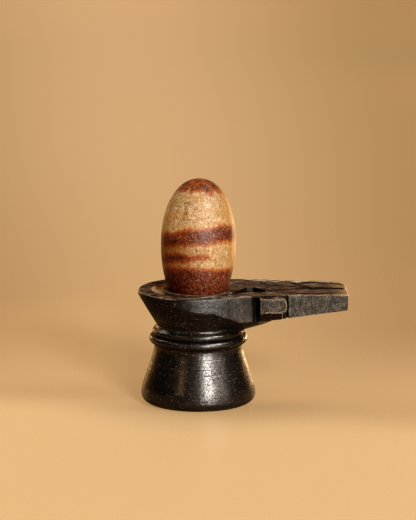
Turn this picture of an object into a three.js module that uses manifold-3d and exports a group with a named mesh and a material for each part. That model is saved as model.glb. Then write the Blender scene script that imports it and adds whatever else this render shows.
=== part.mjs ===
// A natural egg-shaped lingam stone standing in the seat of a turned and carved yoni stand.
// Millimetres, +Z up, the spout points along +X, the origin is the centre of the foot's underside.

import * as THREE from 'three';
import { mergeVertices } from 'three/addons/utils/BufferGeometryUtils.js';
import Module from 'manifold-3d';

const wasm = await Module();
wasm.setup();

// Steps round a full turn, and steps along each curved stretch of an outline.
const TURN_STEPS = 52;
const STONE_TURN_STEPS = 40;
const STONE_LEVELS = 22;
const CURVE_STEPS = 5;
const PLAN_STEPS = 14;

// Stone.
const STONE_RADIUS = 15;
const STONE_WIDEST_Z = 64.4;
const STONE_TOP_Z = 90.5;
const STONE_LOWER_REACH = 29;
const STONE_SQUARENESS = 2.12;
const STONE_LEAN = 0.012;

// Seat: the stone's small flat spot stands on the floor of the hole.
const SEAT_Z = 36.8;
const SEAT_GAP = 0.3;

// Foot. A curved stretch is the point that pulls it and then its end, all as radius and height.
const FOOT_RADIUS = 23;
const FOOT_EDGE_ROUND = 3.6;
const FOOT_SHOULDER = [22.75, 6.8, 22.2, 8];
const FOOT_FLARE = [19.7, 15, 17.9, 21.4];
const FOOT_TOP = [17.65, 22.9];

// Rings round the neck, each a half-round bead that shows between two angles in degrees.
const BIG_RING = { centre: 17.6, z: 25.6, bead: 2.2, from: -72, to: 52 };
const SMALL_RING = { centre: 17.25, z: 28.3, bead: 1.4, from: -38, to: 68 };
const RING_CREASE = [18.3, 27.4];
const NECK_RADIUS = 16.75;
const NECK_Z = 31;
const NECK_PULL_LOW_Z = 29.8;
const NECK_PULL_HIGH_Z = 31.8;

// Level where the carved head takes over from the turned foot.
const CARVED_Z = 28.2;

// Head, and how far a cutting body stands clear of what it cuts.
const HEAD_TOP_Z = 46;
const BOWL_RADIUS = 24.1;
const CONE_FOOT = { radius: 17.45, z: 32.9 };
const CONE_SLOPE = 0.593;
const CLEAR = 1;

// Head plan. The bowl is round between two angles in degrees, and the rest are curved stretches,
// each as the points that pull it and then its end, in (x, y).
const BOWL_FAR_TURN = 58;
const BOWL_NEAR_TURN = 235;
const NEAR_SHOULDER = [-8.3, -23.9, 2, -23.4, 10.7, -19.8];
const NEAR_WAIST = [14, -18.2, 17.6, -17.3];
const TIP_MIDDLE = [59.6, 5];
const FAR_CORNER = [59.4, 9.6, 57, 12.9, 51, 13.9];
const FAR_EDGE = [39, 15.2];
const FAR_WAIST = [33, 16.2, 31, 18.4, 25, 18.9];

// Basin and the low collar round the stone.
const BASIN_RADIUS = 18.9;
const BASIN_FLOOR_RADIUS = 18;
const BASIN_DEPTH = 1.5;
const COLLAR_RADIUS = 14.2;
const COLLAR_FOOT_RADIUS = 14.7;
const COLLAR_DROP = 0.2;

// Spout.
const TIP_X = 59.2;
const SPOUT_HALF_WIDTH = 15.5;
const TIP_NEAR_ROUND = 0.9;
const SPOUT_START_X = 15;
const SPOUT_RISE_X = 24.5;
const SPOUT_LOW_Z = 35.3;
const TIP_LOW_Z = 39.6;

// Root: the flare that carries the spout out of the neck, as stations of height, reach along the
// spout and reach across it, all about an axis that stands a little towards the spout.
const ROOT_X = 10;
const ROOT_STATIONS = [
  { z: 28.4, along: 4, across: 4 },
  { z: 29.6, along: 9, across: 7 },
  { z: 30.3, along: 10.9, across: 9 },
  { z: 31.4, along: 14, across: 12 },
  { z: 32.5, along: 17.6, across: 14.4 },
  { z: 33.6, along: 20.6, across: 16.2 },
  { z: 35.3, along: 23.5, across: 18 },
  { z: 37.2, along: 25, across: 19.6 },
  { z: 38.7, along: 25.5, across: 20.9 },
  { z: 46, along: 27, across: 25 },
];

// Lug on the near side of the spout, and the scoop between it and the waist.
const LUG = { start: 20.7, corner: 23.2, face: 25.6, end: 34.3, out: 19.3, top: 45, low: 39.6 };
const LUG_ROUND = 1.2;
const LUG_ROOT_Y = -12;
const LUG_WAIST_Y = -17.1;
const LUG_CORNER_Y = -18.6;
const LUG_STEP_X = 0.6;
const LUG_CROWN = [[-16.6, 0.15], [-18, 0.55]];
const LUG_LIFT = 0.2;
const SCOOP = { x: 21.6, y: -18.7, radius: 1.75, top: 44.9 };

// Three-cornered pocket at the waist.
const POCKET_DEPTH = 1.9;

// Engraved lines that outline the two tongues on top of the spout.
const LINE_WIDTH = 0.7;
const LINE_DEPTH = 0.7;

/** A closed geometry as a solid, its shared vertices merged. */
function solidOf(geometry) {
  geometry.deleteAttribute('normal');
  geometry.deleteAttribute('uv');
  const merged = mergeVertices(geometry, 1e-4);
  const mesh = new wasm.Mesh({
    numProp: 3,
    vertProperties: new Float32Array(merged.attributes.position.array),
    triVerts: new Uint32Array(merged.index.array),
  });
  return new wasm.Manifold(mesh);
}

/** A solid as a geometry with flat faces. */
function geometryOf(solid) {
  const mesh = solid.getMesh();
  const geometry = new THREE.BufferGeometry();
  geometry.setAttribute('position', new THREE.BufferAttribute(mesh.vertProperties, 3));
  geometry.setIndex(new THREE.BufferAttribute(mesh.triVerts, 1));
  const flat = geometry.toNonIndexed();
  flat.computeVertexNormals();
  return flat;
}

/** Turns an outline of (radius, height) points about the Z axis. */
function turned(outline, steps = TURN_STEPS) {
  return new THREE.LatheGeometry(outline, steps).rotateX(Math.PI / 2);
}

/** Raises a plan outline from one height to another. */
function raised(plan, low, high) {
  const geometry = new THREE.ExtrudeGeometry(plan, {
    depth: high - low,
    bevelEnabled: false,
    curveSegments: PLAN_STEPS,
  });
  return solidOf(geometry.translate(0, 0, low));
}

/** Extrudes an outline of (x, z) points along Y, as far as reach on both sides. */
function alongY(outline, reach) {
  const geometry = new THREE.ExtrudeGeometry(outline, {
    depth: 2 * reach,
    bevelEnabled: false,
    curveSegments: CURVE_STEPS,
  });
  return solidOf(geometry.rotateX(Math.PI / 2).translate(0, reach, 0));
}

/** Extrudes an outline of (y, z) points along X. */
function alongX(outline, start, end) {
  const geometry = new THREE.ExtrudeGeometry(outline, { depth: end - start, bevelEnabled: false });
  const across = new THREE.Matrix4().makeBasis(
    new THREE.Vector3(0, 1, 0),
    new THREE.Vector3(0, 0, 1),
    new THREE.Vector3(1, 0, 0),
  );
  return solidOf(geometry.applyMatrix4(across).translate(start, 0, 0));
}

/** A closed plan or section from a list of corners. */
function polygon(corners) {
  return new THREE.Shape(corners.map(([a, b]) => new THREE.Vector2(a, b)));
}

/** The stone's radius at a height: a squarish oval, blunter above its widest level than below. */
function stoneRadiusAt(z) {
  const reach = z > STONE_WIDEST_Z ? STONE_TOP_Z - STONE_WIDEST_Z : STONE_LOWER_REACH;
  const level = Math.min(1, Math.abs(z - STONE_WIDEST_Z) / reach);
  return STONE_RADIUS * (1 - level ** STONE_SQUARENESS) ** (1 / STONE_SQUARENESS);
}

/** The stone, or with a gap the room that it needs, leaning a little as it stands. */
function stoneSolid(gap) {
  const outline = [new THREE.Vector2(0, SEAT_Z)];
  for (let i = 0; i < STONE_LEVELS; i += 1) {
    const turn = (Math.PI * i) / STONE_LEVELS;
    const z = SEAT_Z + ((STONE_TOP_Z - SEAT_Z) * (1 - Math.cos(turn))) / 2;
    outline.push(new THREE.Vector2(stoneRadiusAt(z) + gap, z));
  }
  outline.push(new THREE.Vector2(0, STONE_TOP_Z + gap));
  const geometry = turned(outline, STONE_TURN_STEPS);
  const place = geometry.attributes.position;
  for (let i = 0; i < place.count; i += 1) {
    const lean = STONE_LEAN * (place.getZ(i) - STONE_WIDEST_Z);
    place.setX(i, place.getX(i) + lean);
  }
  return solidOf(geometry);
}

/** Adds a ring's bead to the outline of the turned body. */
function addBead(outline, ring) {
  const from = THREE.MathUtils.degToRad(ring.from);
  const to = THREE.MathUtils.degToRad(ring.to);
  outline.absarc(ring.centre, ring.z, ring.bead, from, to);
}

/** Foot, rings, neck and bowl, turned in one piece. */
function turnedBody() {
  const outline = new THREE.Path();
  outline.moveTo(0, 0);
  outline.lineTo(FOOT_RADIUS - FOOT_EDGE_ROUND, 0);
  outline.absarc(FOOT_RADIUS - FOOT_EDGE_ROUND, FOOT_EDGE_ROUND, FOOT_EDGE_ROUND, -Math.PI / 2, 0);
  outline.quadraticCurveTo(...FOOT_SHOULDER);
  outline.quadraticCurveTo(...FOOT_FLARE);
  outline.lineTo(...FOOT_TOP);
  addBead(outline, BIG_RING);
  outline.lineTo(...RING_CREASE);
  addBead(outline, SMALL_RING);
  outline.quadraticCurveTo(NECK_RADIUS, NECK_PULL_LOW_Z, NECK_RADIUS, NECK_Z);
  outline.quadraticCurveTo(NECK_RADIUS, NECK_PULL_HIGH_Z, CONE_FOOT.radius, CONE_FOOT.z);
  const coneTop = CONE_FOOT.radius + CONE_SLOPE * (HEAD_TOP_Z - CONE_FOOT.z);
  outline.lineTo(coneTop, HEAD_TOP_Z);
  outline.lineTo(0, HEAD_TOP_Z);
  return solidOf(turned(outline.getPoints(CURVE_STEPS)));
}

/** Plan outline of the head: the bowl's round, the waist, and the spout with its blunt tip. */
function headPlan() {
  const plan = new THREE.Shape();
  const farTurn = THREE.MathUtils.degToRad(BOWL_FAR_TURN);
  const nearTurn = THREE.MathUtils.degToRad(BOWL_NEAR_TURN);
  plan.absarc(0, 0, BOWL_RADIUS, farTurn, nearTurn, false);
  plan.bezierCurveTo(...NEAR_SHOULDER);
  plan.quadraticCurveTo(...NEAR_WAIST);
  plan.lineTo(LUG.start, LUG_WAIST_Y);
  plan.lineTo(LUG.start + LUG_STEP_X, -SPOUT_HALF_WIDTH);
  plan.lineTo(TIP_X - TIP_NEAR_ROUND, -SPOUT_HALF_WIDTH);
  plan.quadraticCurveTo(TIP_X, -SPOUT_HALF_WIDTH, TIP_X, -SPOUT_HALF_WIDTH + TIP_NEAR_ROUND);
  plan.lineTo(...TIP_MIDDLE);
  plan.bezierCurveTo(...FAR_CORNER);
  plan.lineTo(...FAR_EDGE);
  plan.bezierCurveTo(...FAR_WAIST);
  return plan;
}

/** The root's width for its length at a height, read off its stations. */
function rootSqueezeAt(z) {
  const next = Math.max(1, ROOT_STATIONS.findIndex((station) => station.z >= z - 1e-3));
  const low = ROOT_STATIONS[next - 1];
  const high = ROOT_STATIONS[next];
  const share = (z - low.z) / (high.z - low.z);
  return THREE.MathUtils.lerp(low.across / low.along, high.across / high.along, share);
}

/** The root's flare, an oval that widens as it rises. */
function rootFlare() {
  const low = ROOT_STATIONS[0].z;
  const high = ROOT_STATIONS[ROOT_STATIONS.length - 1].z;
  const outline = ROOT_STATIONS.map((station) => new THREE.Vector2(station.along, station.z));
  const closed = [new THREE.Vector2(0, low), ...outline, new THREE.Vector2(0, high)];
  const geometry = turned(closed);
  const place = geometry.attributes.position;
  for (let i = 0; i < place.count; i += 1) {
    place.setY(i, place.getY(i) * rootSqueezeAt(place.getZ(i)));
  }
  return solidOf(geometry.translate(ROOT_X, 0, 0));
}

/** The spout's wedge, level under the waist and rising to the tip. */
function spoutWedge() {
  const section = polygon([
    [SPOUT_START_X, SPOUT_LOW_Z],
    [SPOUT_RISE_X, SPOUT_LOW_Z],
    [TIP_X + CLEAR, TIP_LOW_Z],
    [TIP_X + CLEAR, HEAD_TOP_Z],
    [SPOUT_START_X, HEAD_TOP_Z],
  ]);
  return alongY(section, BOWL_RADIUS);
}

/** The block that stands out from the near side of the spout, its top sloping outward. */
function lug() {
  const plan = new THREE.Shape();
  plan.moveTo(LUG.start, LUG_ROOT_Y);
  plan.lineTo(LUG.start, LUG_WAIST_Y);
  plan.lineTo(LUG.corner, LUG_CORNER_Y);
  plan.lineTo(LUG.face, -LUG.out);
  plan.lineTo(LUG.end - LUG_ROUND, -LUG.out);
  plan.quadraticCurveTo(LUG.end, -LUG.out, LUG.end, -LUG.out + LUG_ROUND);
  plan.lineTo(LUG.end, LUG_ROOT_Y);
  const section = polygon([
    [LUG_ROOT_Y, HEAD_TOP_Z],
    ...LUG_CROWN.map(([y, drop]) => [y, HEAD_TOP_Z - drop]),
    [-LUG.out, LUG.top],
    [-LUG.out, LUG.low],
    [-SPOUT_HALF_WIDTH, SPOUT_LOW_Z + LUG_LIFT],
    [LUG_ROOT_Y, SPOUT_LOW_Z + LUG_LIFT],
  ]);
  const scoop = new THREE.Shape().absarc(SCOOP.x, SCOOP.y, SCOOP.radius, 0, 2 * Math.PI);
  return raised(plan, SPOUT_LOW_Z, HEAD_TOP_Z)
    .intersect(alongX(section, LUG.start - CLEAR, LUG.end + CLEAR))
    .intersect(spoutWedge())
    .subtract(raised(scoop, SPOUT_LOW_Z - CLEAR, SCOOP.top));
}

/** The ring-shaped basin round the stone, with the collar left standing in it. */
function basin() {
  const floor = HEAD_TOP_Z - BASIN_DEPTH;
  const above = HEAD_TOP_Z + CLEAR;
  const outline = [
    [0, HEAD_TOP_Z - COLLAR_DROP],
    [COLLAR_RADIUS, HEAD_TOP_Z - COLLAR_DROP],
    [COLLAR_FOOT_RADIUS, floor],
    [BASIN_FLOOR_RADIUS, floor],
    [BASIN_RADIUS, HEAD_TOP_Z],
    [BASIN_RADIUS, above],
    [0, above],
  ];
  return solidOf(turned(outline.map(([radius, z]) => new THREE.Vector2(radius, z))));
}

/** Plan of the first tongue, from the collar over the waist to its point on the spout. */
function tonguePlan() {
  return polygon([
    [10.4, -9.2],
    [13.2, -8.8],
    [19.4, 0.8],
    [22.4, 1],
    [27, -5.9],
    [40.7, -2.6],
    [42.7, -0.8],
    [36.7, 2.5],
    [32.7, 3.4],
    [28.2, 5.8],
    [25.6, 9.4],
    [14, 10.2],
    [11, 8],
  ]);
}

/** The three-cornered pocket at the waist, between the first tongue and the near land. */
function waistPocket() {
  const plan = polygon([
    [13, -9.4],
    [16, -9.9],
    [25, -7.7],
    [27.3, -6],
    [22.4, 1],
    [19.4, 0.8],
  ]);
  return raised(plan, HEAD_TOP_Z - POCKET_DEPTH, HEAD_TOP_Z + CLEAR);
}

/** An engraved line along a run of plan points, pointed at its end. */
function engraved(run) {
  const points = run.map(([x, y]) => new THREE.Vector2(x, y));
  const half = LINE_WIDTH / 2;
  const near = points.map((point) => [point.x, point.y - half]);
  const far = points.map((point) => [point.x, point.y + half]).reverse();
  return raised(polygon([...near, ...far]), HEAD_TOP_Z - LINE_DEPTH, HEAD_TOP_Z + CLEAR);
}

/** The lines that outline both tongues. */
function tongueLines() {
  const nearLeaf = engraved([[26.8, -6], [33.5, -4], [40.7, -2.8], [43.2, -0.9]]);
  const farLeaf = engraved([[14, 10.6], [25.6, 9.8], [28.4, 6], [32.7, 3.6], [37, 2.6], [43.2, -0.7]]);
  const nearTongue = engraved([[37.8, 8.4], [43.1, 1.9], [46, -2.5], [56.7, -3.4], [TIP_X + CLEAR, -5.4]]);
  const farTongue = engraved([[38, 8.6], [47.5, 9.8], [53.9, 8.2], [TIP_X + CLEAR, 3.2]]);
  return nearLeaf.add(farLeaf).add(nearTongue).add(farTongue);
}

/** The whole stand: turned body, carved head and the seat that takes the stone. */
function standSolid() {
  const body = turnedBody();
  const allRound = new THREE.Shape().absarc(0, 0, FOOT_RADIUS + BOWL_RADIUS, 0, 2 * Math.PI);
  const foot = body.intersect(raised(allRound, -CLEAR, CARVED_Z));
  const carved = raised(headPlan(), CARVED_Z, HEAD_TOP_Z);
  const head = body.add(rootFlare()).add(spoutWedge()).intersect(carved);
  const tongue = raised(tonguePlan(), NECK_Z, HEAD_TOP_Z + 2 * CLEAR);
  return foot
    .add(head)
    .add(lug())
    .subtract(basin().subtract(tongue))
    .subtract(waistPocket())
    .subtract(tongueLines())
    .subtract(stoneSolid(SEAT_GAP));
}

/** A named mesh from a solid and its material. */
function piece(name, solid, material) {
  const mesh = new THREE.Mesh(geometryOf(solid), material);
  mesh.name = name;
  return mesh;
}

const bandedStone = new THREE.MeshStandardMaterial({ color: 0xb07a4a, roughness: 0.45, metalness: 0 });
const blackStone = new THREE.MeshStandardMaterial({ color: 0x1c1815, roughness: 0.4, metalness: 0 });

const group = new THREE.Group();
group.add(piece('lingam_stone', stoneSolid(0), bandedStone));
group.add(piece('yoni_stand', standSolid(), blackStone));

export default group;
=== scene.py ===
"""A banded river stone standing in the seat of a turned and carved black stone stand.

Sizes are in millimetres in the makers' fields and become metres where a mesh is made. The spout
points along +X, and the origin is the centre of the foot's underside.
"""

import functools
import logging
import math
from collections.abc import Callable
from dataclasses import dataclass
from enum import Enum

import bpy
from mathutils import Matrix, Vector


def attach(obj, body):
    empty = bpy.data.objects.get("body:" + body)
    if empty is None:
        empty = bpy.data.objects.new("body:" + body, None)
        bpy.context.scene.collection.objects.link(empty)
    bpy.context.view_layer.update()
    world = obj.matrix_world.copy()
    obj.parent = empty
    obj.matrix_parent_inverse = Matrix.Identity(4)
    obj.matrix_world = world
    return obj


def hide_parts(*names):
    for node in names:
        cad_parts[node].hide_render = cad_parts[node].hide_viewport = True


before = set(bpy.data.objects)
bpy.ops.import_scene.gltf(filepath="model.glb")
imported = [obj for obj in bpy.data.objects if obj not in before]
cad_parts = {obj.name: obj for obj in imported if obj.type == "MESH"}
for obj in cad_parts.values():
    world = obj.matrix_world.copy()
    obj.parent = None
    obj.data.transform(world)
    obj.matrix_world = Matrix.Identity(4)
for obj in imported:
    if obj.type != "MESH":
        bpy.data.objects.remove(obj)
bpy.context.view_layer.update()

MM = 0.001
BODY = "root"
LOG = logging.getLogger("lingam_stone")

Piece = bpy.types.Object
Material = bpy.types.Material
Socket = bpy.types.NodeSocket
Point2 = tuple[float, float]
Point3 = tuple[float, float, float]
Colour = tuple[float, float, float]
# A noise: size of its features in millimetres, finer layers, and how strong those are.
Cloud = tuple[float, float, float]
# A wash of colour over a noise: where it starts, where it is whole, and its share there.
Wash = tuple[float, float, float]
# Flecks: their size in millimetres, and the level that the noise has to pass.
Flecks = tuple[float, float]
# Specks: the size of their cells in millimetres, the share of cells with one, and its radius.
Specks = tuple[float, float, float]


class Side(Enum):
    """How one solid works on another."""

    JOIN = "UNION"
    KEEP_SHARED = "INTERSECT"
    CUT = "DIFFERENCE"


class Axis(Enum):
    """What a ramp of a zone reads: a place in millimetres, a turn in degrees or a facing."""

    X = "x"
    Y = "y"
    Z = "z"
    OUT = "distance from the upright axis"
    TURN = "turn about the upright axis, 0 at the front"
    FACE_X = "facing along x"
    FACE_Y = "facing along y"
    FACE_Z = "facing along z"


PLACES = (Axis.X, Axis.Y, Axis.Z)
FACINGS = (Axis.FACE_X, Axis.FACE_Y, Axis.FACE_Z)

# A zone is where all of its ramps are passed. Each goes from nothing to whole.
Zone = tuple[tuple[Axis, float, float], ...]


# ---------------------------------------------------------------------------------------------
# Outlines
# ---------------------------------------------------------------------------------------------


def arc(centre: Point2, radius: float, start: float, end: float, steps: int) -> list[Point2]:
    """Points along an arc.

    Args:
        centre: Middle of the arc.
        radius: Its radius.
        start: First angle in degrees.
        end: Last angle in degrees.
        steps: Number of stretches.

    Returns:
        The points, both ends among them.
    """
    points = []
    for i in range(steps + 1):
        angle = math.radians(start + (end - start) * i / steps)
        points.append((centre[0] + radius * math.cos(angle), centre[1] + radius * math.sin(angle)))
    return points


def curve(steps: int, *pulls: Point2) -> list[Point2]:
    """Points along a smooth curve.

    Args:
        steps: Number of stretches.
        *pulls: The first point, the points that pull the curve, and the last point.

    Returns:
        The points after the first one.
    """
    top = len(pulls) - 1
    points = []
    for i in range(1, steps + 1):
        t = i / steps
        weights = [math.comb(top, k) * t**k * (1 - t) ** (top - k) for k in range(top + 1)]
        points.append(tuple(sum(w * p[side] for w, p in zip(weights, pulls)) for side in (0, 1)))
    return points


def eased(run: list[Point3], rounds: int) -> list[Point3]:
    """Cuts the corners of a run of stations, so that it flows from one to the next.

    Args:
        run: The stations.
        rounds: How often the corners are cut.

    Returns:
        The flowing stations, with both ends kept.
    """
    for _ in range(rounds):
        softer = [run[0]]
        for a, b in zip(run, run[1:]):
            softer.append(tuple(0.75 * p + 0.25 * q for p, q in zip(a, b)))
            softer.append(tuple(0.25 * p + 0.75 * q for p, q in zip(a, b)))
        softer.append(run[-1])
        run = softer
    return run


# ---------------------------------------------------------------------------------------------
# Mesh tools
# ---------------------------------------------------------------------------------------------


class Bench:
    """Hand tools that every maker uses. Each leaves its result as the one active object."""

    MERGE = 0.002 * MM
    FACES_NEAR = -0.995

    @staticmethod
    def pick(piece: Piece) -> None:
        """Makes a piece the only selected and active one.

        Args:
            piece: The piece to work on.
        """
        bpy.ops.object.select_all(action="DESELECT")
        piece.select_set(True)
        bpy.context.view_layer.objects.active = piece

    @staticmethod
    def seed(name: str, place: Point3) -> Piece:
        """A single vertex, left selected in edit mode.

        Args:
            name: Name of the new piece.
            place: Where the vertex is, in millimetres.

        Returns:
            The new piece.
        """
        bpy.ops.object.select_all(action="DESELECT")
        bpy.ops.mesh.primitive_plane_add(size=MM)
        piece = bpy.context.active_object
        piece.name = name
        bpy.ops.object.mode_set(mode="EDIT")
        bpy.ops.mesh.select_all(action="SELECT")
        bpy.ops.mesh.merge(type="CENTER")
        bpy.ops.transform.translate(value=Vector(place) * MM)
        return piece

    @staticmethod
    def extrude(reach: Point3 | Vector) -> None:
        """Extrudes what is selected, by a reach in millimetres."""
        bpy.ops.mesh.extrude_region_move(TRANSFORM_OT_translate={"value": Vector(reach) * MM})

    @staticmethod
    def draw(run: list[Point3]) -> None:
        """Extrudes the selected vertex from the first point of a run along the others."""
        for a, b in zip(run, run[1:]):
            Bench.extrude(Vector(b) - Vector(a))

    @staticmethod
    def close_up() -> None:
        """Merges doubles, points the faces outwards and leaves edit mode."""
        bpy.ops.mesh.select_all(action="SELECT")
        bpy.ops.mesh.remove_doubles(threshold=Bench.MERGE)
        bpy.ops.mesh.normals_make_consistent(inside=False)
        bpy.ops.object.mode_set(mode="OBJECT")

    @staticmethod
    def turn(name: str, outline: list[Point2], steps: int) -> Piece:
        """Turns an outline about the upright axis into a closed body.

        Args:
            name: Name of the new piece.
            outline: Points of (radius, height) from the axis round to the axis.
            steps: Steps round the full turn.

        Returns:
            The turned body.
        """
        run = [(radius, 0.0, height) for radius, height in outline]
        piece = Bench.seed(name, run[0])
        Bench.draw(run)
        bpy.ops.mesh.select_all(action="SELECT")
        bpy.ops.mesh.spin(steps=steps, angle=2 * math.pi, center=(0, 0, 0), axis=(0, 0, 1))
        Bench.close_up()
        return piece

    @staticmethod
    def sheet(name: str, corners: list[Point3]) -> Piece:
        """Fills an outline with one face, left selected in edit mode.

        Args:
            name: Name of the new piece.
            corners: The outline's points in order.

        Returns:
            The new piece.
        """
        piece = Bench.seed(name, corners[0])
        Bench.draw(corners)
        bpy.ops.mesh.select_all(action="SELECT")
        bpy.ops.mesh.edge_face_add()
        bpy.ops.mesh.select_all(action="SELECT")
        return piece

    @staticmethod
    def slab(name: str, corners: list[Point3], reach: Point3) -> Piece:
        """Fills an outline and extrudes it into a closed body.

        Args:
            name: Name of the new piece.
            corners: The outline's points in order.
            reach: How far and which way the face is extruded.

        Returns:
            The extruded body.
        """
        piece = Bench.sheet(name, corners)
        Bench.extrude(reach)
        Bench.close_up()
        return piece

    @staticmethod
    def raise_plan(name: str, plan: list[Point2], low: float, high: float) -> Piece:
        """Raises a plan outline of (x, y) from one height to another."""
        return Bench.slab(name, [(x, y, low) for x, y in plan], (0, 0, high - low))

    @staticmethod
    def stack(name: str, segments: int, rings: list[tuple[float, ...]]) -> Piece:
        """Raises a body ring by ring, from a filled circle.

        Args:
            name: Name of the new piece.
            segments: Vertices in each ring.
            rings: (centre x, height, reach along x, reach along y) of each ring, lowest first.

        Returns:
            The closed body.
        """
        bpy.ops.object.select_all(action="DESELECT")
        x, z, along, across = rings[0]
        centre = (x * MM, 0, z * MM)
        bpy.ops.mesh.primitive_circle_add(
            vertices=segments, radius=along * MM, fill_type="NGON", location=centre
        )
        piece = bpy.context.active_object
        piece.name = name
        bpy.ops.object.transform_apply(location=True, rotation=True, scale=True)
        bpy.ops.object.mode_set(mode="EDIT")
        bpy.ops.mesh.select_all(action="SELECT")
        bpy.ops.transform.resize(value=(1, across / along, 1), center_override=centre)
        for last, ring in zip(rings, rings[1:]):
            Bench.extrude((ring[0] - last[0], 0, ring[1] - last[1]))
            centre = (ring[0] * MM, 0, ring[1] * MM)
            grow = (ring[2] / last[2], ring[3] / last[3], 1)
            bpy.ops.transform.resize(value=grow, center_override=centre)
        Bench.close_up()
        return piece

    @staticmethod
    def work(piece: Piece, kind: str, **settings: object) -> None:
        """Puts a modifier on a piece and applies it.

        Args:
            piece: The piece.
            kind: The modifier's type.
            **settings: Its properties.
        """
        Bench.pick(piece)
        step = piece.modifiers.new(kind.lower(), kind)
        for name, value in settings.items():
            setattr(step, name, value)
        bpy.ops.object.modifier_apply(modifier=step.name)

    @staticmethod
    def combine(piece: Piece, other: Piece, side: Side) -> None:
        """Works one solid on another, which stays, and clears the first away."""
        Bench.work(piece, "BOOLEAN", operation=side.value, solver="MANIFOLD", object=other)
        bpy.data.objects.remove(other)

    @staticmethod
    def roughen(piece: Piece, *layers: Point2) -> None:
        """Moves a dense skin in and out by cloudy noise, and shades it smoothly.

        Args:
            piece: The piece.
            *layers: (size of the features, whole travel) of each layer, in millimetres.
        """
        for size, travel in layers:
            pattern = bpy.data.textures.new(f"{piece.name}_clouds_{size}", "CLOUDS")
            pattern.noise_scale = size * MM
            Bench.work(
                piece,
                "DISPLACE",
                texture=pattern,
                texture_coords="LOCAL",
                strength=travel * MM,
                mid_level=0.5,
            )
        bpy.ops.object.shade_smooth()

    @staticmethod
    def choose(piece: Piece, kind: str, wanted: Callable[[object], bool]) -> None:
        """Selects some of a mesh's vertices or faces, and stays in edit mode.

        Args:
            piece: The piece.
            kind: VERT or FACE.
            wanted: Tells whether one is selected.
        """
        Bench.pick(piece)
        bpy.ops.object.mode_set(mode="EDIT")
        bpy.ops.mesh.select_mode(type=kind)
        bpy.ops.mesh.select_all(action="DESELECT")
        bpy.ops.object.mode_set(mode="OBJECT")
        for part in piece.data.vertices if kind == "VERT" else piece.data.polygons:
            part.select = wanted(part)
        bpy.ops.object.mode_set(mode="EDIT")

    @staticmethod
    def level_underside(piece: Piece, reach: float) -> None:
        """Presses a piece's underside flat on the floor.

        Args:
            piece: The piece.
            reach: Height in millimetres up to which its vertices are pressed down.
        """
        Bench.choose(piece, "VERT", lambda vertex: vertex.co.z < reach * MM)
        bpy.ops.transform.resize(value=(1, 1, 0), center_override=(0, 0, 0))
        bpy.ops.object.mode_set(mode="OBJECT")

    @staticmethod
    def round_near_face(piece: Piece, reach: float, steps: int) -> None:
        """Rounds the edges of a solid's face that looks along -Y.

        Args:
            piece: The solid.
            reach: How far the rounding reaches in millimetres.
            steps: Number of stretches in it.
        """
        Bench.choose(piece, "FACE", lambda face: face.normal.y < Bench.FACES_NEAR)
        bpy.ops.mesh.dissolve_limited(angle_limit=math.radians(1))
        bpy.ops.mesh.region_to_loop()
        bpy.ops.mesh.bevel(offset=reach * MM, segments=steps, affect="EDGES")
        bpy.ops.mesh.select_mode(type="VERT")
        Bench.close_up()

    @staticmethod
    def thin(piece: Piece, most: int) -> None:
        """Brings a piece under a number of triangles where it has more.

        Args:
            piece: The piece.
            most: The most triangles that it may keep.
        """
        piece.data.calc_loop_triangles()
        count = len(piece.data.loop_triangles)
        if count > most:
            Bench.work(piece, "DECIMATE", ratio=most / count)


# ---------------------------------------------------------------------------------------------
# Shader tools
# ---------------------------------------------------------------------------------------------


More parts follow.
